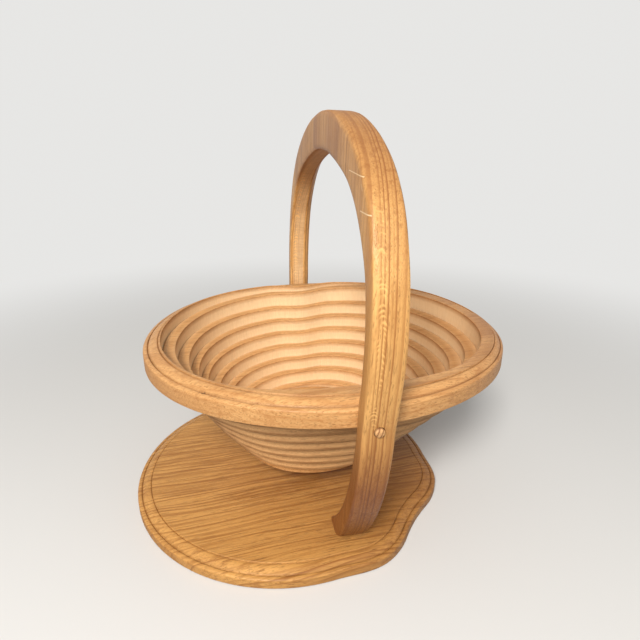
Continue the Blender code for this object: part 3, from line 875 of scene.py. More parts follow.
def strip_section(board, place):
    """Closed section of the sawn strip at a place, in the flat board, and its looks."""
    outer_bottom, outer_top = cut_wall(board, place, -1)
    inner_bottom, inner_top = cut_wall(board, place + 2, 1)
    rows = []
    for share, dark in OUTER_WALL_SHARES:
        soft = 0.0 if share else board.arris
        rows.append((outer_bottom.lerp(outer_top, share), soft, dark, OUTER_WALL_SAWN))
    beside_rim = eased(place, *STRIP_TOP_FADE)
    for share, fresh in STRIP_TOP_SHARES:
        soft = 0.0 if share else 2 * board.arris
        rows.append((outer_top.lerp(inner_top, share), soft, 0.0, fresh * beside_rim))
    rows.append((inner_top, board.worn_edge, 0.0, WORN_EDGE_SAWN))
    rows += inner_wall_rows(board, inner_bottom, inner_top)
    return finished_line(rows, closed=True)


class BASKET_OT_bowl(bpy.types.Operator):
    """Build the half turns of the sawn strip that hang below each other as the bowl"""

    bl_idname = "basket.bowl"
    bl_label = "Bowl"

    def execute(self, context):
        board = context.scene.basket_board
        hinges = hinge_points(context)
        wood = wood_named(context, "oiled_bowl")
        for index in range(1, HALF_TURNS + 1):
            start = junction(board, index - 1)
            tilt = half_turn_tilt(board, index)
            whole = Matrix.Rotation(tilt, 3, "Y")
            vertices = []
            places = []
            looks = []
            for step in range(STRIP_STATIONS + 1):
                place = index - 1 + SPLIT_EASE + (1 - 2 * SPLIT_EASE) * step / STRIP_STATIONS
                section, section_looks = strip_section(board, place)
                middle = sum(section, Vector()) / len(section)
                edge = min(place - index + 1, index - place)
                own = Matrix.Rotation(tilt * eased(edge, 0.0, TILT_EASE), 3, "Y")
                settled = hinges[index - 1] + whole @ (middle - start)
                for point in section:
                    vertices.append(settled + own @ (point - middle))
                    places.append(plan_turn(point, BOARD_GRAIN_TURN))
                looks.extend(section_looks)
            faces = lofted_faces(STRIP_STATIONS + 1, len(section))
            piece = add_piece("bowl_turn_%02d" % index, vertices, faces, wood, places, looks)
            settle(piece, "half_turn_%02d" % index, "spiral_wood", "spiral_%02d" % index)
        return {"FINISHED"}


class BASKET_OT_bottom(bpy.types.Operator):
    """Build the bottom disc inside the last turn of the saw cut"""

    bl_idname = "basket.bottom"
    bl_label = "Bottom"

    def execute(self, context):
        board = context.scene.basket_board
        hinge = hinge_points(context)[-1]
        start = junction(board, HALF_TURNS)
        vertices = []
        places = []
        for step in range(DISC_STATIONS + 1):
            place = HALF_TURNS + SPLIT_EASE + (2 - 2 * SPLIT_EASE) * step / DISC_STATIONS
            bottom, top = cut_wall(board, place, -1)
            inwards = Vector((-bottom.x, -bottom.y, 0.0)).normalized()
            inwards *= DISC_RING_INSET * board.arris
            column, _ = finished_line([
                (bottom + inwards, 0.0, *PLAIN),
                (bottom, board.arris, *PLAIN),
                (top, board.arris, *PLAIN),
                (top + inwards, 0.0, *PLAIN),
            ])
            for point in column:
                vertices.append(hinge + point - start)
                places.append(plan_turn(point, BOARD_GRAIN_TURN))
        count = len(column)
        ring = DISC_STATIONS + 1
        faces = skirt_faces(ring, count, around=False)
        end = DISC_STATIONS * count
        faces.append(list(range(count)) + [end + index for index in reversed(range(count))])
        faces.append([step * count + count - 1 for step in range(ring)])
        hole_start = len(vertices)
        hole = DOWEL_RADIUS + JOINT_GAP
        underside = context.scene.basket_base.thickness + DISC_ABOVE_BASE
        for level in (vertices[0].z, underside + DOWEL_REACH_IN_DISC + JOINT_GAP):
            for step in range(ring):
                outline = vertices[step * count]
                angle = math.atan2(outline.y, outline.x)
                point = Vector((hole * math.cos(angle), hole * math.sin(angle), level))
                vertices.append(point)
                places.append(plan_turn(point - hinge + start, BOARD_GRAIN_TURN))
        for step in range(DISC_STATIONS):
            low = hole_start + step
            faces.append((step * count, (step + 1) * count, low + 1, low))
            faces.append((low, low + 1, low + 1 + ring, low + ring))
        last = hole_start + DISC_STATIONS
        faces.append((end, 0, hole_start, last))
        faces.append((last, hole_start, hole_start + ring, last + ring))
        faces.append([hole_start + ring + step for step in range(ring)])
        wood = wood_named(context, "oiled_bowl")
        piece = add_piece("bowl_bottom", vertices, faces, wood, places)
        settle(piece, "disc", "spiral_wood", "bottom_disc")
        return {"FINISHED"}


# Handle

def peg_height(context):
    """Height of the peg axis."""
    return board_middle(context) - context.scene.basket_board.thickness / 2 + PEG_RISE


def foot_level(context):
    """Height of the feet's undersides."""
    return context.scene.basket_base.thickness + JOINT_GAP


def leg_contours(context, side):
    """Inner and outer contour of a leg from the peg level down, which clear the rim when folded."""
    board = context.scene.basket_board
    handle = context.scene.basket_handle
    length = peg_height(context) - foot_level(context)
    inner = []
    for step in range(LEG_SAMPLES + 1):
        down = length * step / LEG_SAMPLES
        inner.append((rim_half_width(board, PEG_AXIS_X + down, side) + LEG_CLEARANCE, -down))
    outer = []
    for index, point in enumerate(inner):
        before = inner[max(0, index - 1)]
        after = inner[min(LEG_SAMPLES, index + 1)]
        run = Vector((after[0] - before[0], after[1] - before[1])).normalized()
        share = index / LEG_SAMPLES
        depth = handle.leg_at_peg * (1 - share) + handle.leg_at_foot * share
        outer.append((point[0] - run.y * depth, point[1] + run.x * depth))
    return inner, outer


def arch_contours(context, side):
    """Inner and outer contour of the arch from the crown down to the peg level."""
    board = context.scene.basket_board
    handle = context.scene.basket_handle
    inner_width = rim_half_width(board, PEG_AXIS_X, side) + LEG_CLEARANCE
    outer_width = inner_width + handle.leg_at_peg
    inner_rise = rim_reach_left(board) + CROWN_CLEARANCE
    outer_rise = inner_rise + handle.crown
    inner = [(a * inner_width, b * inner_rise) for a, b in reversed(ARCH_INNER_SHARES)]
    outer = [(a * outer_width, b * outer_rise) for a, b in reversed(ARCH_OUTER_SHARES)]
    return inner, outer


def from_crown(points):
    """Curve through points from the crown down, where it runs on evenly into the other side."""
    beyond = (-points[1][0], points[1][1])
    return smoothed([beyond, *points], ARCH_STEPS)[ARCH_STEPS:]


def handle_side(context, side):
    """Inner and outer points of one side, from the crown to the foot, and the ends' inset."""
    leg_inner, leg_outer = leg_contours(context, side)
    arch_inner, arch_outer = arch_contours(context, side)
    inner = from_crown(arch_inner) + leg_inner[1:]
    outer_down = [point for point in leg_outer if point[1] < arch_outer[-2][1] / 2]
    guides = arch_outer[:-1] + outer_down[::ARCH_STEPS] + [outer_down[-1]]
    outer = from_crown(guides)
    floor = foot_level(context) - peg_height(context)
    knee = floor + FOOT_ROUND
    inner_run = [point for point in inner if point[1] > knee] + [(at_level(inner, knee), knee)]
    outer_run = [point for point in outer if point[1] > knee] + [(at_level(outer, knee), knee)]
    runs = along_line(inner_run, HANDLE_STATIONS), along_line(outer_run, HANDLE_STATIONS)
    pairs = [(near, far, 0.0) for near, far in zip(*runs)]
    for step in range(1, FOOT_STATIONS + 1):
        angle = math.pi / 2 * step / FOOT_STATIONS
        level = floor + FOOT_ROUND * (1 - math.sin(angle))
        inset = FOOT_ROUND * (1 - math.cos(angle))
        near = (at_level(inner, level) + inset, level)
        far = (at_level(outer, level) - inset, level)
        pairs.append((near, far, inset))
    return [((side * a, b), (side * c, d), inset) for (a, b), (c, d), inset in pairs]


def handle_section(handle, near, far, inset):
    """Closed section of the handle between its inner and outer contour, and its looks."""
    near = Vector(near)
    far = Vector(far)
    width = (far - near).length - OIL_FILM
    across = (far - near).normalized()
    left = -handle.thickness / 2 + inset + OIL_FILM
    right = handle.thickness / 2 - inset - OIL_FILM
    rows = [
        (Vector((0.0, left)), handle.soft_edge, *PLAIN),
        (Vector((width, left)), handle.soft_edge, *PLAIN),
        (Vector((width, right)), handle.crest_edge, *PLAIN),
    ]
    rout = routed_rows(HANDLE_ROUT_SHARES, handle.rout_width, handle.rout_depth)
    for inwards, down, soft, dark in reversed(rout):
        rows.append((Vector((inwards, right - down)), soft, dark, 0.0))
    face_right = right - handle.rout_depth * INNER_FACE_START
    face_left = left + handle.soft_edge * INNER_FACE_START
    rows.append((Vector((0.0, face_right)), 0.0, 0.0, HANDLE_INNER_SAWN))
    rows.append((Vector((0.0, face_left)), 0.0, 0.0, HANDLE_INNER_SAWN))
    line, looks = finished_line(rows, closed=True)
    section = []
    for point in line:
        place = near + across * point.x
        section.append(Vector((point.y, place.x, place.y)))
    return section, looks


class BASKET_OT_handle(bpy.types.Operator):
    """Build the arched handle with its two legs and their peg holes"""

    bl_idname = "basket.handle"
    bl_label = "Handle"

    def execute(self, context):
        handle = context.scene.basket_handle
        board = context.scene.basket_board
        wood = wood_named(context, "oiled_handle")
        stations = handle_side(context, -1)[::-1] + handle_side(context, 1)[1:]
        upright = []
        looks = []
        for near, far, inset in stations:
            section, section_looks = handle_section(handle, near, far, inset)
            upright.extend(section)
            looks.extend(section_looks)
        faces = lofted_faces(len(stations), len(section))
        lean = Matrix.Rotation(handle.lean, 3, "Y")
        pivot = Vector((PEG_AXIS_X, 0.0, peg_height(context)))
        vertices = [pivot + lean @ point for point in upright]
        piece = add_piece("carry_handle", vertices, faces, wood, looks=looks)
        for side in (-1, 1):
            inner = rim_half_width(board, PEG_AXIS_X, side) + LEG_CLEARANCE
            radius = handle.peg_radius + JOINT_GAP
            depth = handle.leg_at_peg
            rings = [(radius, inner - depth), (radius, inner + 2 * depth)]
            across, over = Vector((1, 0, 0)), Vector((0, 0, -side))
            bore = add_piece("peg_bore", *turned_rings(rings, pivot, across, over), wood)
            cut_away(piece, bore)
        layer = piece.data.attributes["plank_place"]
        back = lean.transposed()
        for vertex in piece.data.vertices:
            point = back @ (vertex.co - pivot)
            layer.data[vertex.index].vector = Vector((point.z, point.y, point.x))
        settle(piece, "handle", "handle_wood", "handle")
        return {"FINISHED"}


def cut_away(piece, cutter):
    """Take the cutter's volume out of a piece, and the cutter out of the scene."""
    modifier = piece.modifiers.new("bore", "BOOLEAN")
    modifier.operation = "DIFFERENCE"
    modifier.solver = "EXACT"
    modifier.object = cutter
    graph = bpy.context.evaluated_depsgraph_get()
    cut = bpy.data.meshes.new_from_object(piece.evaluated_get(graph))
    piece.modifiers.remove(modifier)
    old = piece.data
    piece.data = cut
    bpy.data.meshes.remove(old)
    bpy.data.objects.remove(cutter, do_unlink=True)
    while len(cut.materials) > 1:
        cut.materials.pop(index=len(cut.materials) - 1)
    smooth_shading(cut)


class BASKET_OT_pegs(bpy.types.Operator):
    """Build the two pegs with domed heads"""

    bl_idname = "basket.pegs"
    bl_label = "Pegs"

    def execute(self, context):
        handle = context.scene.basket_handle
        board = context.scene.basket_board
        wood = wood_named(context, "oiled_peg")
        pivot = Vector((PEG_AXIS_X, 0.0, peg_height(context)))
        for name, node, side in (("peg_near", "near_peg", -1), ("peg_far", "far_peg", 1)):
            outline = rim_half_width(board, PEG_AXIS_X, side)
            head = outline + LEG_CLEARANCE + handle.leg_at_peg + PEG_PROUD
            radius = handle.peg_radius - OIL_FILM
            rings = [(radius, outline - PEG_DEPTH_IN_RIM)]
            for share_out, share_up in DOME_SHARES:
                rings.append((share_out * radius, head + share_up * (PEG_DOME - OIL_FILM)))
            across, over = Vector((1, 0, 0)), Vector((0, 0, -side))
            vertices, faces = turned_rings(rings, pivot, across, over)
            places = [Vector((vertex.y, vertex.x, vertex.z)) for vertex in vertices]
            looks = []
            for dark in PEG_RING_SHARES:
                looks.extend([(dark, 0.0)] * ROUND_SIDES)
            looks.extend([PLAIN] * (len(vertices) - len(looks)))
            piece = add_piece(name, vertices, faces, wood, places, looks)
            settle(piece, "rim", "peg_wood", node)
        return {"FINISHED"}


# Woods

# Noises in the woods: how often they change per millimetre along and across the grain, their detail
# and roughness, and the values from which and up to which they show
NOISES = {
    "drift": ((0.0065, 0.022, 0.022), 2.0, 0.5),
    "shiver": ((0.030, 0.30, 0.30), 2.0, 0.5),
    "uneven_rings": ((0.11, 1.0, 1.0), 1.0, 0.5),
    "toning": ((0.004, 0.055, 0.055), 3.0, 0.55, 0.30, 0.70),
    "streaks": ((0.009, 0.34, 0.34), 3.0, 0.6, 0.47, 0.66),
    "fibre": ((0.020, 1.05, 1.05), 4.0, 0.66, 0.34, 0.68),
    "pores": ((0.085, 1.60, 1.60), 2.0, 0.5, 0.575, 0.66),
    "flecks": ((0.30, 1.25, 0.85), 1.0, 0.45, 0.56, 0.66),
    "saw_strokes": ((1.05, 1.05, 0.07), 2.0, 0.6, 0.36, 0.66),
    "ripple_waver": ((0.06, 0.06, 0.06), 1.0, 0.5),
    "ripple_steps": ((0.11, 0.05, 0.05), 2.0, 0.5),
    "ripple_patches": ((0.045, 0.3, 0.3), 1.0, 0.5, 0.42, 0.60),
}

# The rings are cones: this share of the way along the grain counts as way from the pith
RING_TAPER = (0.02, 1.0, 1.0)

# How far the rings wander, as a share of a wood's wobble, in long waves and in short ones
DRIFT_REACH = (0.0, 2.0, 2.0)
SHIVER_REACH = (0.0, 0.10, 0.10)

# How unevenly the rings lie, in rings
RING_UNEVEN = 3.2

# Parts of a ring over which its dark late wood rises and falls, and over which its pores thin out
LATE_RISES = (0.35, 0.93)
LATE_FALLS = (0.985, 0.90)
PORES_THIN = (0.20, 0.60)

# The weakest ring line and the weakest pores, as a share of the strongest
WEAKEST = 0.25

# How far a face turns towards the grain's direction where its end grain begins to show, and where
# it shows fully
END_GRAIN_TURN = (0.55, 0.98)

# How much of the colour the fibre, the end grain and fresh saw cuts take over
FIBRE_SHARE = 0.46
END_GRAIN_SHARE = 0.34
FRESH_SHARE = 0.88

# How much of the colour the dark lines take over, among them the painted shade in routed grooves
# and at the sawn walls: what toning adds, and at least
LINE_SHARES = (0.44, 0.32)

# How much fibre, end grain, fresh cuts and pores add to the roughness
ROUGHNESS_GAINS = (0.12, 0.16, 0.16, 0.15)

# How much fibre, pores, ring lines and saw marks add to the height of the surface
HEIGHT_GAINS = (-0.45, -0.9, 0.35, -0.5)

# A fresh cut shows saw marks in full from this freshness on
SAW_MARKS_FULL = 0.9

# How the surface's height shows, and the thin coat of oil
RELIEF = {"Strength": 0.45, "Distance": 0.0004}
OIL = {"Specular IOR Level": 0.30, "Coat Weight": 0.04, "Coat Roughness": 0.30}

# The plank of the rim and the bowl
BOARD_PLANK = {
    "Seed": (120.0, 220.0, 60.0),
    "Pith": (0.0, 120.0, -170.0),
    "Ring Width": 5.0,
    "Wobble": 10.0,
    "Sawing": 0.10,
    "Toning": 0.50,
}

# Values of each wood. Its plank's place in the noises, its pith, and its rings' width and wobble
# are in millimetres, and the others are shares.
WOODS = {
    "oiled_base": {
        "Seed": (310.0, 40.0, 12.0),
        "Pith": (0.0, -260.0, -150.0),
        "Ring Width": 4.2,
        "Wobble": 9.0,
        "Rings": 0.80,
        "Streaks": 0.50,
        "Pores": 0.50,
        "Flecks": 0.18,
        "Toning": 0.50,
        "Roughness": 0.42,
    },
    "oiled_rim": {
        **BOARD_PLANK,
        "Rings": 0.62,
        "Streaks": 0.42,
        "Pores": 0.52,
        "Flecks": 0.46,
        "Roughness": 0.40,
    },
    "oiled_bowl": {
        **BOARD_PLANK,
        "Rings": 0.42,
        "Streaks": 0.36,
        "Pores": 0.45,
        "Flecks": 0.30,
        "Roughness": 0.45,
    },
    "oiled_handle": {
        "Seed": (90.0, 400.0, 200.0),
        "Pith": (0.0, 380.0, -700.0),
        "Ring Width": 3.1,
        "Wobble": 1.1,
        "Rings": 0.95,
        "Streaks": 0.40,
        "Pores": 0.48,
        "Flecks": 0.12,
        "Toning": 0.60,
        "Sawing": 0.55,
        "Roughness": 0.38,
    },
    "oiled_peg": {
        "Seed": (10.0, 15.0, 700.0),
        "Pith": (0.0, -348.0, 978.0),
        "Ring Width": 2.1,
        "Wobble": 0.4,
        "Rings": 0.95,
        "Streaks": 0.20,
        "Pores": 0.30,
        "Flecks": 0.10,
        "Toning": 0.25,
        "Roughness": 0.48,
    },
}


def feed(tree, socket, value):
    """Link a socket to an input, or set the input to a plain value."""
    if isinstance(value, bpy.types.NodeSocket):
        tree.links.new(value, socket)
    elif value is not None:
        socket.default_value = value


def add_node(tree, kind, inputs=None, **settings):
    """A new node with its settings, and with the inputs that are given by name or number."""
    node = tree.nodes.new("ShaderNode" + kind)
    for key, value in settings.items():
        setattr(node, key, value)
    for key, value in (inputs or {}).items():
        feed(tree, node.inputs[key], value)
    return node


def calc(tree, operation, *values, clamp=False):
    """Result of a sum on plain numbers."""
    inputs = dict(enumerate(values))
    return add_node(tree, "Math", inputs, operation=operation, use_clamp=clamp).outputs[0]


def product(tree, first, *others):
    """Some numbers multiplied with each other."""
    for other in others:
        first = calc(tree, "MULTIPLY", first, other)
    return first


def weighted(tree, start, masks, gains):
    """A number plus each mask times its gain."""
    for mask, gain in zip(masks, gains):
        start = calc(tree, "MULTIPLY_ADD", mask, gain, start)
    return start


def vector_calc(tree, operation, first, second=None, scale=None):
    """Result of a sum on vectors."""
    inputs = {0: first, 1: second}
    if scale is not None:
        inputs["Scale"] = scale
    node = add_node(tree, "VectorMath", inputs, operation=operation)
    return node.outputs["Value"] if operation in ("DOT_PRODUCT", "LENGTH") else node.outputs[0]


def in_millimetres(tree, place):
    """A place in metres, in millimetres."""
    return vector_calc(tree, "SCALE", place, scale=1000.0)


def axes_of(tree, vector):
    """The X, Y and Z of a vector."""
    return add_node(tree, "SeparateXYZ", {"Vector": vector}).outputs


def ramp(tree, value, start, end):
    """Ease a value from 0 at start to 1 at end."""
    inputs = {"Value": value, "From Min": start, "From Max": end}
    return add_node(tree, "MapRange", inputs, interpolation_type="SMOOTHSTEP").outputs["Result"]


def noise(tree, place, name):
    """One of the noises at a place in millimetres."""
    stretch, detail, roughness = NOISES[name][:3]
    vector = vector_calc(tree, "MULTIPLY", place, stretch)
    inputs = {"Vector": vector, "Scale": 1.0, "Detail": detail, "Roughness": roughness}
    return add_node(tree, "TexNoise", inputs)


def clouds(tree, place, name):
    """Value of one of the noises at a place in millimetres."""
    return noise(tree, place, name).outputs["Fac"]


def patches(tree, place, name):
    """Where one of the noises shows, at a place in millimetres."""
    return ramp(tree, clouds(tree, place, name), *NOISES[name][3:])


def wander(tree, place, name, wobble, reach):
    """A place moved about by one of the noises. Reach is its share of the wobble on each axis."""
    moved = noise(tree, place, name).outputs["Color"]
    moved = vector_calc(tree, "SUBTRACT", moved, (0.5, 0.5, 0.5))
    moved = vector_calc(tree, "SCALE", moved, scale=wobble)
    return vector_calc(tree, "MULTIPLY", moved, reach)


def blended(tree, share, first, second, mode="MIX"):
    """Two colours mixed."""
    inputs = {"Factor": share, "A": first, "B": second}
    return add_node(tree, "Mix", inputs, data_type="RGBA", blend_type=mode).outputs["Result"]


def attribute(tree, name):
    """Node of a value that add_piece has given to the points of a piece."""
    return add_node(tree, "Attribute", attribute_name=name)


def shared_group(name, inputs, outputs, fill):
    """A shader group that every wood uses, built when it is first asked for.

    Inputs and outputs are names with their kind of socket. Fill gets the group and its inputs, and
    returns what goes to its outputs.
    """
    if name in bpy.data.node_groups:
        return bpy.data.node_groups[name]
    group = bpy.data.node_groups.new(name, "ShaderNodeTree")
    for in_out, sockets in (("INPUT", inputs), ("OUTPUT", outputs)):
        for socket, kind in sockets.items():
            group.interface.new_socket(socket, in_out=in_out, socket_type="NodeSocket" + kind)
    start = group.nodes.new("NodeGroupInput")
    end = group.nodes.new("NodeGroupOutput")
    for socket, value in zip(outputs, fill(group, start.outputs)):
        feed(group, end.inputs[socket], value)
    return group


def place_group(tree, group, inputs):
    """Put a group into a tree and return its outputs."""
    node = tree.nodes.new("ShaderNodeGroup")
    node.node_tree = group
    for key, value in inputs.items():
        feed(tree, node.inputs[key], value)
    return node.outputs


def plank_group():
    """Masks of a plank's grain, from a place in it with X along the grain, in metres.

    The growth rings are cones round a pith that lies outside the plank. Every mask follows from the
    place alone, so end grain and flat grain of one piece meet at its edges as in real wood.
    """
    def fill(group, inputs):
        place = in_millimetres(group, inputs["Place"])
        place = vector_calc(group, "ADD", place, inputs["Seed"])
        drift = wander(group, place, "drift", inputs["Wobble"], DRIFT_REACH)
        shiver = wander(group, place, "shiver", inputs["Wobble"], SHIVER_REACH)
        bent = vector_calc(group, "ADD", vector_calc(group, "ADD", place, drift), shiver)

        from_pith = vector_calc(group, "SUBTRACT", bent, inputs["Pith"])
        from_pith = vector_calc(group, "MULTIPLY", from_pith, RING_TAPER)
        reach = vector_calc(group, "LENGTH", from_pith)
        outwards = vector_calc(group, "SCALE", (1.0, 0.0, 0.0), scale=reach)
        phase = calc(group, "DIVIDE", reach, inputs["Ring Width"])
        uneven = clouds(group, outwards, "uneven_rings")
        phase = calc(group, "MULTIPLY_ADD", uneven, RING_UNEVEN, phase)
        part = calc(group, "FRACT", phase)
        late = product(group, ramp(group, part, *LATE_RISES), ramp(group, part, *LATE_FALLS))
        ring = {"W": calc(group, "FLOOR", phase)}
        chance = add_node(group, "TexWhiteNoise", ring, noise_dimensions="1D").outputs["Value"]
        strength = calc(group, "MULTIPLY_ADD", chance, 1 - WEAKEST, WEAKEST)

        early = calc(group, "SUBTRACT", 1.0, ramp(group, part, *PORES_THIN))
        density = calc(group, "MULTIPLY_ADD", early, 1 - WEAKEST, WEAKEST)
        return (
            product(group, late, strength),
            patches(group, bent, "toning"),
            patches(group, bent, "streaks"),
            patches(group, place, "fibre"),
            product(group, patches(group, place, "pores"), density),
            patches(group, place, "flecks"),
        )

    inputs = {
        "Place": "Vector",
        "Seed": "Vector",
        "Pith": "Vector",
        "Ring Width": "Float",
        "Wobble": "Float",
    }
    masks = ("Rings", "Toning", "Streaks", "Fibre", "Pores", "Flecks")
    return shared_group("plank_grain", inputs, dict.fromkeys(masks, "Float"), fill)


def saw_group():
    """Fine upright marks that a thin saw blade leaves on the walls of its cut."""
    def fill(group, inputs):
        place = in_millimetres(group, inputs["Place"])
        cut = ramp(group, inputs["Freshness"], 0.0, SAW_MARKS_FULL)
        return (product(group, patches(group, place, "saw_strokes"), cut),)

    inputs = {"Place": "Vector", "Freshness": "Float"}
    return shared_group("saw_marks", inputs, {"Marks": "Float"}, fill)


def painted_shade_group():
    """How much painted shade darkens a wood between two places along its grain, in metres."""
    def fill(group, inputs):
        along = axes_of(group, inputs["Place"])["X"]
        share = product(group, ramp(group, along, inputs["Start"], inputs["End"]), inputs["Share"])
        spared = product(group, inputs["Freshness"], SAWN_SPARED)
        return (product(group, share, calc(group, "SUBTRACT", 1.0, spared)),)

    inputs = {
        "Place": "Vector",
        "Freshness": "Float",
        "Start": "Float",
        "End": "Float",
        "Share": "Float",
    }
    return shared_group("painted_shade_ramp", inputs, {"Share": "Float"}, fill)


def oiled_group():
    """Colour, roughness and height of oiled wood.

    Place is in its plank, Freshness and Line are the looks of its points, and End Grain says where
    the grain ends in the surface. Rings, Streaks, Pores, Flecks, Toning and Sawing are shares.
    """
    def fill(group, inputs):
        grain_inputs = ("Place", "Seed", "Pith", "Ring Width", "Wobble")
        grain = place_group(group, plank_group(), {key: inputs[key] for key in grain_inputs})
        saw_inputs = {key: inputs[key] for key in ("Place", "Freshness")}
        marks = place_group(group, saw_group(), saw_inputs)["Marks"]
        colour, dark = inputs["Light"], inputs["Dark"]
        middle = blended(group, 0.5, colour, dark)
        darkest = blended(group, 0.5, dark, (0.0, 0.0, 0.0, 1.0))
        sawn = (*SAWN_COLOUR, 1.0)
        line = calc(group, "MULTIPLY_ADD", grain["Toning"], *LINE_SHARES)
        for mask, share, tone in (
            (grain["Toning"], inputs["Toning"], middle),
            (grain["Fibre"], FIBRE_SHARE, middle),
            (grain["Streaks"], inputs["Streaks"], dark),
            (grain["Rings"], inputs["Rings"], dark),
            (grain["Flecks"], inputs["Flecks"], dark),
            (grain["Pores"], inputs["Pores"], darkest),
            (inputs["End Grain"], END_GRAIN_SHARE, dark),
            (inputs["Freshness"], FRESH_SHARE, sawn),
            (marks, inputs["Sawing"], dark),
            # Dark lines, among them painted shade in routed grooves and along the sawn walls' edges
            (inputs["Line"], line, darkest),
        ):
            colour = blended(group, product(group, mask, share), colour, tone)
        dulling = (grain["Fibre"], inputs["End Grain"], inputs["Freshness"], grain["Pores"])
        rough = weighted(group, inputs["Roughness"], dulling, ROUGHNESS_GAINS)
        relief = (grain["Fibre"], grain["Pores"], grain["Rings"], marks)
        return colour, rough, weighted(group, 0.0, relief, HEIGHT_GAINS)

    numbers = (
        "Freshness",
        "Line",
        "End Grain",
        "Ring Width",
        "Wobble",
        "Rings",
        "Streaks",
        "Pores",
        "Flecks",
        "Toning",
        "Sawing",
        "Roughness",
    )
    inputs = {
        **dict.fromkeys(("Place", "Seed", "Pith"), "Vector"),
        **dict.fromkeys(("Light", "Dark"), "Color"),
        **dict.fromkeys(numbers, "Float"),
    }
    outputs = {"Colour": "Color", "Roughness": "Float", "Height": "Float"}
    return shared_group("oiled_wood", inputs, outputs, fill)


def oiled_wood(name, colours, grain_axis):
    """One of the woods in its light and dark colour, with the direction of its grain."""
    material = bpy.data.materials.new(name)
    material.use_nodes = True
    tree = material.node_tree
    facing = add_node(tree, "TexCoord").outputs["Normal"]
    along = calc(tree, "ABSOLUTE", vector_calc(tree, "DOT_PRODUCT", facing, grain_axis))
    light, dark = ((*colour, 1.0) for colour in colours)
    wood = place_group(tree, oiled_group(), {
        "Place": attribute(tree, "plank_place").outputs["Vector"],
        "Freshness": attribute(tree, "sawn_wall").outputs["Fac"],
        "Line": attribute(tree, "dark_line").outputs["Fac"],
        "End Grain": ramp(tree, along, *END_GRAIN_TURN),
        "Light": light,
        "Dark": dark,
        **WOODS[name],
    })
    relief = add_node(tree, "Bump", {**RELIEF, "Height": wood["Height"]})
    shader = tree.nodes["Principled BSDF"]
    feed(tree, shader.inputs["Base Color"], wood["Colour"])
    feed(tree, shader.inputs["Roughness"], wood["Roughness"])
    feed(tree, shader.inputs["Normal"], relief.outputs["Normal"])
    for key, value in OIL.items():
        shader.inputs[key].default_value = value
    material.diffuse_color = light
    return material


def add_over(tree, share, colour, mode="MIX"):
    """Lay a colour over what a wood's shader shows so far."""
    socket = tree.nodes["Principled BSDF"].inputs["Base Color"]
    colour = (*colour[:3], 1.0)
    feed(tree, socket, blended(tree, share, socket.links[0].from_socket, colour, mode))


def paint_shade_along(tree, start, end, share, colours):
    """Paint shade onto a wood, darker along its grain.

    At the full share its light colour turns into its dark one.
    """
    darker = place_group(tree, painted_shade_group(), {
        "Place": attribute(tree, "plank_place").outputs["Vector"],
        "Freshness": attribute(tree, "sawn_wall").outputs["Fac"],
        "Start": start,
        "End": end,
        "Share": share,
    })
    tint = [dark / light for light, dark in zip(*colours)]
    add_over(tree, darker["Share"], tint, "MULTIPLY")


def ripples(tree, place):
    """Nested pale arcs in a band along the handle, from a place in its plank in metres."""
    place = in_millimetres(tree, place)
    axes = axes_of(tree, place)
    waver = clouds(tree, place, "ripple_waver")
    middle = calc(tree, "MULTIPLY_ADD", waver, RIPPLE_WAVER, RIPPLE_MIDDLE)
    aside = calc(tree, "SUBTRACT", axes["Z"], middle)
    bent = calc(tree, "ADD", axes["X"], product(tree, aside, aside, RIPPLE_BEND))
    phase = calc(tree, "DIVIDE", bent, RIPPLE_STEP)
    uneven = clouds(tree, place, "ripple_steps")
    part = calc(tree, "FRACT", calc(tree, "MULTIPLY_ADD", uneven, RIPPLE_UNEVEN, phase))
    return product(
        tree,
        ramp(tree, part, *RIPPLE_RISES),
        ramp(tree, part, *RIPPLE_FALLS),
        patches(tree, place, "ripple_patches"),
        ramp(tree, calc(tree, "ABSOLUTE", aside), RIPPLE_REACH, RIPPLE_CORE * RIPPLE_REACH),
        ramp(tree, axes["X"], *RIPPLES_START),
        ramp(tree, axes["X"], *RIPPLES_END),
    )


def scratch(tree, place, start, end, reach):
    """A fine straight scratch between two points, given by their Y and Z from the pegs."""
    axes = axes_of(tree, place)
    run = (end[0] - start[0], end[1] - start[1])
    squared = run[0] ** 2 + run[1] ** 2
    from_y = calc(tree, "SUBTRACT", axes["Y"], start[0])
    from_z = calc(tree, "SUBTRACT", axes["X"], start[1])
    along = calc(tree, "MULTIPLY", from_y, run[0] / squared)
    along = calc(tree, "MULTIPLY_ADD", from_z, run[1] / squared, along, clamp=True)
    off_y = calc(tree, "MULTIPLY_ADD", along, -run[0], from_y)
    off_z = calc(tree, "MULTIPLY_ADD", along, -run[1], from_z)
    off = calc(tree, "ADD", product(tree, off_y, off_y), product(tree, off_z, off_z))
    near = ramp(tree, calc(tree, "SQRT", off), reach, SCRATCH_CORE * reach)
    on_left = ramp(tree, axes["Z"], SCRATCH_EDGE, SCRATCH_EDGE - SCRATCH_EDGE_EASE)
    return product(tree, near, on_left)


def plan_axis(turn):
    """Direction of a grain that is turned in plan."""
    return (math.cos(turn), math.sin(turn), 0.0)


def base_wood(name, context):
    """Straight-grained wood with strong ring lines."""
    woods = context.scene.basket_woods
    colours = (woods.base_light, woods.base_dark)
    material = oiled_wood(name, colours, plan_axis(BASE_GRAIN_TURN))
    # Painted shade towards the base board's right side
    paint_shade_along(material.node_tree, *BASE_PAINTED_SHADE, colours)
    return material


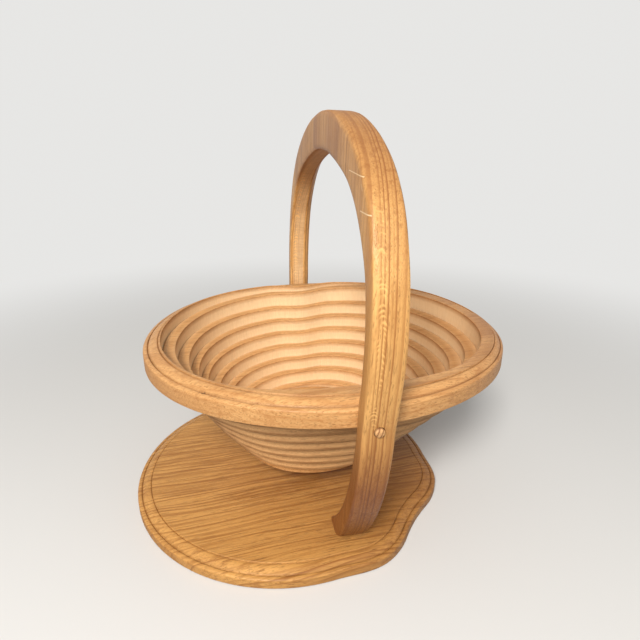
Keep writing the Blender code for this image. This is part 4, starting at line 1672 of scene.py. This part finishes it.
def rim_wood(name, context):
    """Flat-sawn rim with small dark flecks and one small knot."""
    woods = context.scene.basket_woods
    colours = (woods.board_light, woods.board_dark)
    material = oiled_wood(name, colours, plan_axis(BOARD_GRAIN_TURN))
    tree = material.node_tree
    place = attribute(tree, "plank_place").outputs["Vector"]
    knot = plan_turn(Vector((*RIM_KNOT, 0.0)), BOARD_GRAIN_TURN)
    aside = vector_calc(tree, "SUBTRACT", place, tuple(knot))
    aside = vector_calc(tree, "MULTIPLY", aside, RIM_KNOT_STRETCH)
    off = vector_calc(tree, "LENGTH", aside)
    spot = ramp(tree, off, RIM_KNOT_RADIUS, RIM_KNOT_CORE * RIM_KNOT_RADIUS)
    tone = [RIM_KNOT_TONE * value for value in woods.board_dark]
    add_over(tree, product(tree, spot, RIM_KNOT_SHARE), tone)
    # Painted shade towards the rim's right side
    paint_shade_along(tree, *BOARD_PAINTED_SHADE, colours)
    return material


def bowl_wood(name, context):
    """The rim's board on the strips and the bottom."""
    woods = context.scene.basket_woods
    colours = (woods.board_light, woods.board_dark)
    material = oiled_wood(name, colours, plan_axis(BOARD_GRAIN_TURN))
    # Painted shade towards the bowl's right side
    paint_shade_along(material.node_tree, *BOARD_PAINTED_SHADE, colours)
    return material


def handle_wood(name, context):
    """Upright grain of the handle, with its ripples, its wear, end grain at its crown and painted
    shade towards its foot and its crown.
    """
    woods = context.scene.basket_woods
    lean = context.scene.basket_handle.lean
    colours = (woods.handle_light, woods.handle_dark)
    material = oiled_wood(name, colours, (math.sin(lean), 0.0, math.cos(lean)))
    tree = material.node_tree
    # Painted shade towards the handle's foot and towards its crown
    paint_shade_along(tree, *FOOT_PAINTED_SHADE, colours)
    paint_shade_along(tree, *CROWN_PAINTED_SHADE, colours)
    place = attribute(tree, "plank_place").outputs["Vector"]
    pale = [min(1.0, RIPPLE_PALENESS * value) for value in woods.handle_light]
    add_over(tree, product(tree, ripples(tree, place), RIPPLE_SHARE), pale)
    for start, end, reach in HANDLE_SCRATCHES:
        mark = scratch(tree, place, start, end, reach)
        add_over(tree, product(tree, mark, SCRATCH_SHARE), SAWN_COLOUR)
    return material


def peg_wood(name, context):
    """Dowel wood, cut across at the heads."""
    woods = context.scene.basket_woods
    return oiled_wood(name, (woods.peg_light, woods.peg_dark), (0.0, 0.0, 1.0))


WOOD_MAKERS = {
    "oiled_base": base_wood,
    "oiled_rim": rim_wood,
    "oiled_bowl": bowl_wood,
    "oiled_handle": handle_wood,
    "oiled_peg": peg_wood,
}


def wood_named(context, name):
    """One of the woods, made when it is first asked for."""
    return bpy.data.materials.get(name) or WOOD_MAKERS[name](name, context)


# Stage

# The floor: half its width, how far it lies below the board, its roughness, and the distances
# between which it fades into the backdrop
FLOOR_HALF = 6.0
FLOOR_DROP = 0.0004
FLOOR_ROUGHNESS = 0.85
FLOOR_FADE = (0.30, 1.0)

# Where the lamps look, and each one's place, width and colour
LAMPS_LOOK_AT = (0.0, 0.0, 0.12)
KEY_LAMP = ((-0.50, -1.14, 1.10), 0.42, (1.0, 0.975, 0.94))
FILL_LAMP = ((1.15, -0.55, 0.85), 1.0, (1.0, 0.98, 0.96))

# Colour of the even light from all sides
SKY_COLOUR = (1.0, 0.985, 0.96)

# The camera's place in metres, its turn in degrees, its lens and its sensor in millimetres, and how
# near to it things may come
CAMERA_PLACE = (-0.0713, -0.3977, 0.300)
CAMERA_TURN = (70.0, 0.0, -11.3)
CAMERA_LENS = 27.06
CAMERA_SENSOR = 36.0
CAMERA_NEAREST = 0.01


def soft_lamp(name, power, place, width, colour):
    """A square lamp that looks at the basket."""
    light = bpy.data.lights.new(name, "AREA")
    light.shape = "SQUARE"
    light.size = width
    light.energy = power
    light.color = colour
    lamp = bpy.data.objects.new(name, light)
    lamp.location = place
    towards = Vector(LAMPS_LOOK_AT) - Vector(place)
    lamp.rotation_euler = towards.to_track_quat("-Z", "Y").to_euler()
    bpy.context.scene.collection.objects.link(lamp)


def mixed_shaders(tree, share, first, second):
    """Two shaders mixed."""
    return add_node(tree, "MixShader", {"Fac": share, 1: first, 2: second}).outputs["Shader"]


def looked_at(tree):
    """1 for what is seen straight, mirrored or through a clear piece, 0 for light on the pieces."""
    path = add_node(tree, "LightPath").outputs
    seen = calc(tree, "ADD", path["Is Camera Ray"], path["Is Glossy Ray"])
    return calc(tree, "ADD", seen, path["Is Transmission Ray"], clamp=True)


def pale_floor(settings):
    """Floor that fades into the backdrop, and sends its own glow back to the pieces."""
    material = bpy.data.materials.new("pale_floor")
    material.use_nodes = True
    tree = material.node_tree
    near = tree.nodes["Principled BSDF"]
    near.inputs["Base Color"].default_value = (*settings.floor, 1.0)
    near.inputs["Roughness"].default_value = FLOOR_ROUGHNESS
    glow = add_node(tree, "BsdfDiffuse", {"Color": (*settings.floor_glow, 1.0)})
    far = add_node(tree, "Emission", {"Color": (*settings.backdrop, 1.0)})
    away = vector_calc(tree, "LENGTH", add_node(tree, "TexCoord").outputs["Object"])
    fade = ramp(tree, away, *FLOOR_FADE)
    seen = mixed_shaders(tree, fade, near.outputs["BSDF"], far.outputs["Emission"])
    shader = mixed_shaders(tree, looked_at(tree), glow.outputs["BSDF"], seen)
    feed(tree, tree.nodes["Material Output"].inputs["Surface"], shader)
    return material


class BASKET_OT_stage(bpy.types.Operator):
    """Set up the pale floor, the lamps, the even light and the camera"""

    bl_idname = "basket.stage"
    bl_label = "Stage"

    def execute(self, context):
        scene = context.scene
        settings = scene.basket_stage
        mesh = bpy.data.meshes.new("floor")
        corners = [(-1, -1), (1, -1), (1, 1), (-1, 1)]
        corners = [(x * FLOOR_HALF, y * FLOOR_HALF, 0.0) for x, y in corners]
        mesh.from_pydata(corners, [], [(0, 1, 2, 3)])
        mesh.materials.append(pale_floor(settings))
        floor = bpy.data.objects.new("floor", mesh)
        floor.location = (0.0, 0.0, -FLOOR_DROP)
        scene.collection.objects.link(floor)

        scene.world = scene.world or bpy.data.worlds.new("even_light")
        scene.world.use_nodes = True
        tree = scene.world.node_tree
        sky = tree.nodes["Background"]
        sky.inputs["Color"].default_value = (*SKY_COLOUR, 1.0)
        sky.inputs["Strength"].default_value = settings.sky
        white = add_node(tree, "Background", {"Color": (*settings.backdrop, 1.0), "Strength": 1.0})
        lights = sky.outputs["Background"], white.outputs["Background"]
        shader = mixed_shaders(tree, looked_at(tree), *lights)
        feed(tree, tree.nodes["World Output"].inputs["Surface"], shader)

        soft_lamp("key_lamp", settings.key_power, *KEY_LAMP)
        soft_lamp("fill_lamp", settings.fill_power, *FILL_LAMP)

        camera_data = bpy.data.cameras.new("photo_camera")
        camera_data.sensor_width = CAMERA_SENSOR
        camera_data.lens = CAMERA_LENS
        camera_data.clip_start = CAMERA_NEAREST
        camera = bpy.data.objects.new("photo_camera", camera_data)
        camera.location = CAMERA_PLACE
        camera.rotation_euler = [math.radians(turn) for turn in CAMERA_TURN]
        scene.collection.objects.link(camera)
        scene.camera = camera
        scene.view_settings.view_transform = "Standard"
        return {"FINISHED"}


class BASKET_PT_panel(bpy.types.Panel):
    """Sizes, colours and pieces of the basket"""

    bl_idname = "BASKET_PT_panel"
    bl_label = "Collapsible basket"
    bl_space_type = "VIEW_3D"
    bl_region_type = "UI"
    bl_category = "Basket"

    def draw(self, context):
        layout = self.layout
        scene = context.scene
        for title, settings, operators in (
            ("Base", scene.basket_base, ("basket.base_board", "basket.centre_pin")),
            ("Board", scene.basket_board, ("basket.rim", "basket.bowl", "basket.bottom")),
            ("Handle", scene.basket_handle, ("basket.handle", "basket.pegs")),
            ("Woods", scene.basket_woods, ()),
            ("Stage", scene.basket_stage, ("basket.stage",)),
        ):
            box = layout.box()
            box.label(text=title)
            for key in settings.__annotations__:
                box.prop(settings, key)
            for operator in operators:
                box.operator(operator)


SETTINGS = (
    ("basket_base", BasketBaseSizes),
    ("basket_board", BasketBoardSizes),
    ("basket_handle", BasketHandleSizes),
    ("basket_woods", BasketWoodColours),
    ("basket_stage", BasketStageSettings),
)

CLASSES = (
    BASKET_OT_base_board,
    BASKET_OT_centre_pin,
    BASKET_OT_rim,
    BASKET_OT_bowl,
    BASKET_OT_bottom,
    BASKET_OT_handle,
    BASKET_OT_pegs,
    BASKET_OT_stage,
    BASKET_PT_panel,
)


def register():
    """Add the settings, operators and panel."""
    for name, settings in SETTINGS:
        bpy.utils.register_class(settings)
        setattr(bpy.types.Scene, name, bpy.props.PointerProperty(type=settings))
    for item in CLASSES:
        bpy.utils.register_class(item)


def unregister():
    """Take them away again."""
    for item in reversed(CLASSES):
        bpy.utils.unregister_class(item)
    for name, settings in reversed(SETTINGS):
        delattr(bpy.types.Scene, name)
        bpy.utils.unregister_class(settings)


def main():
    """Build every piece and the stage."""
    register()
    bpy.ops.basket.base_board()
    bpy.ops.basket.centre_pin()
    bpy.ops.basket.rim()
    bpy.ops.basket.bowl()
    bpy.ops.basket.bottom()
    bpy.ops.basket.handle()
    bpy.ops.basket.pegs()
    bpy.ops.basket.stage()
    bpy.context.view_layer.update()


if __name__ == "__main__":
    main()
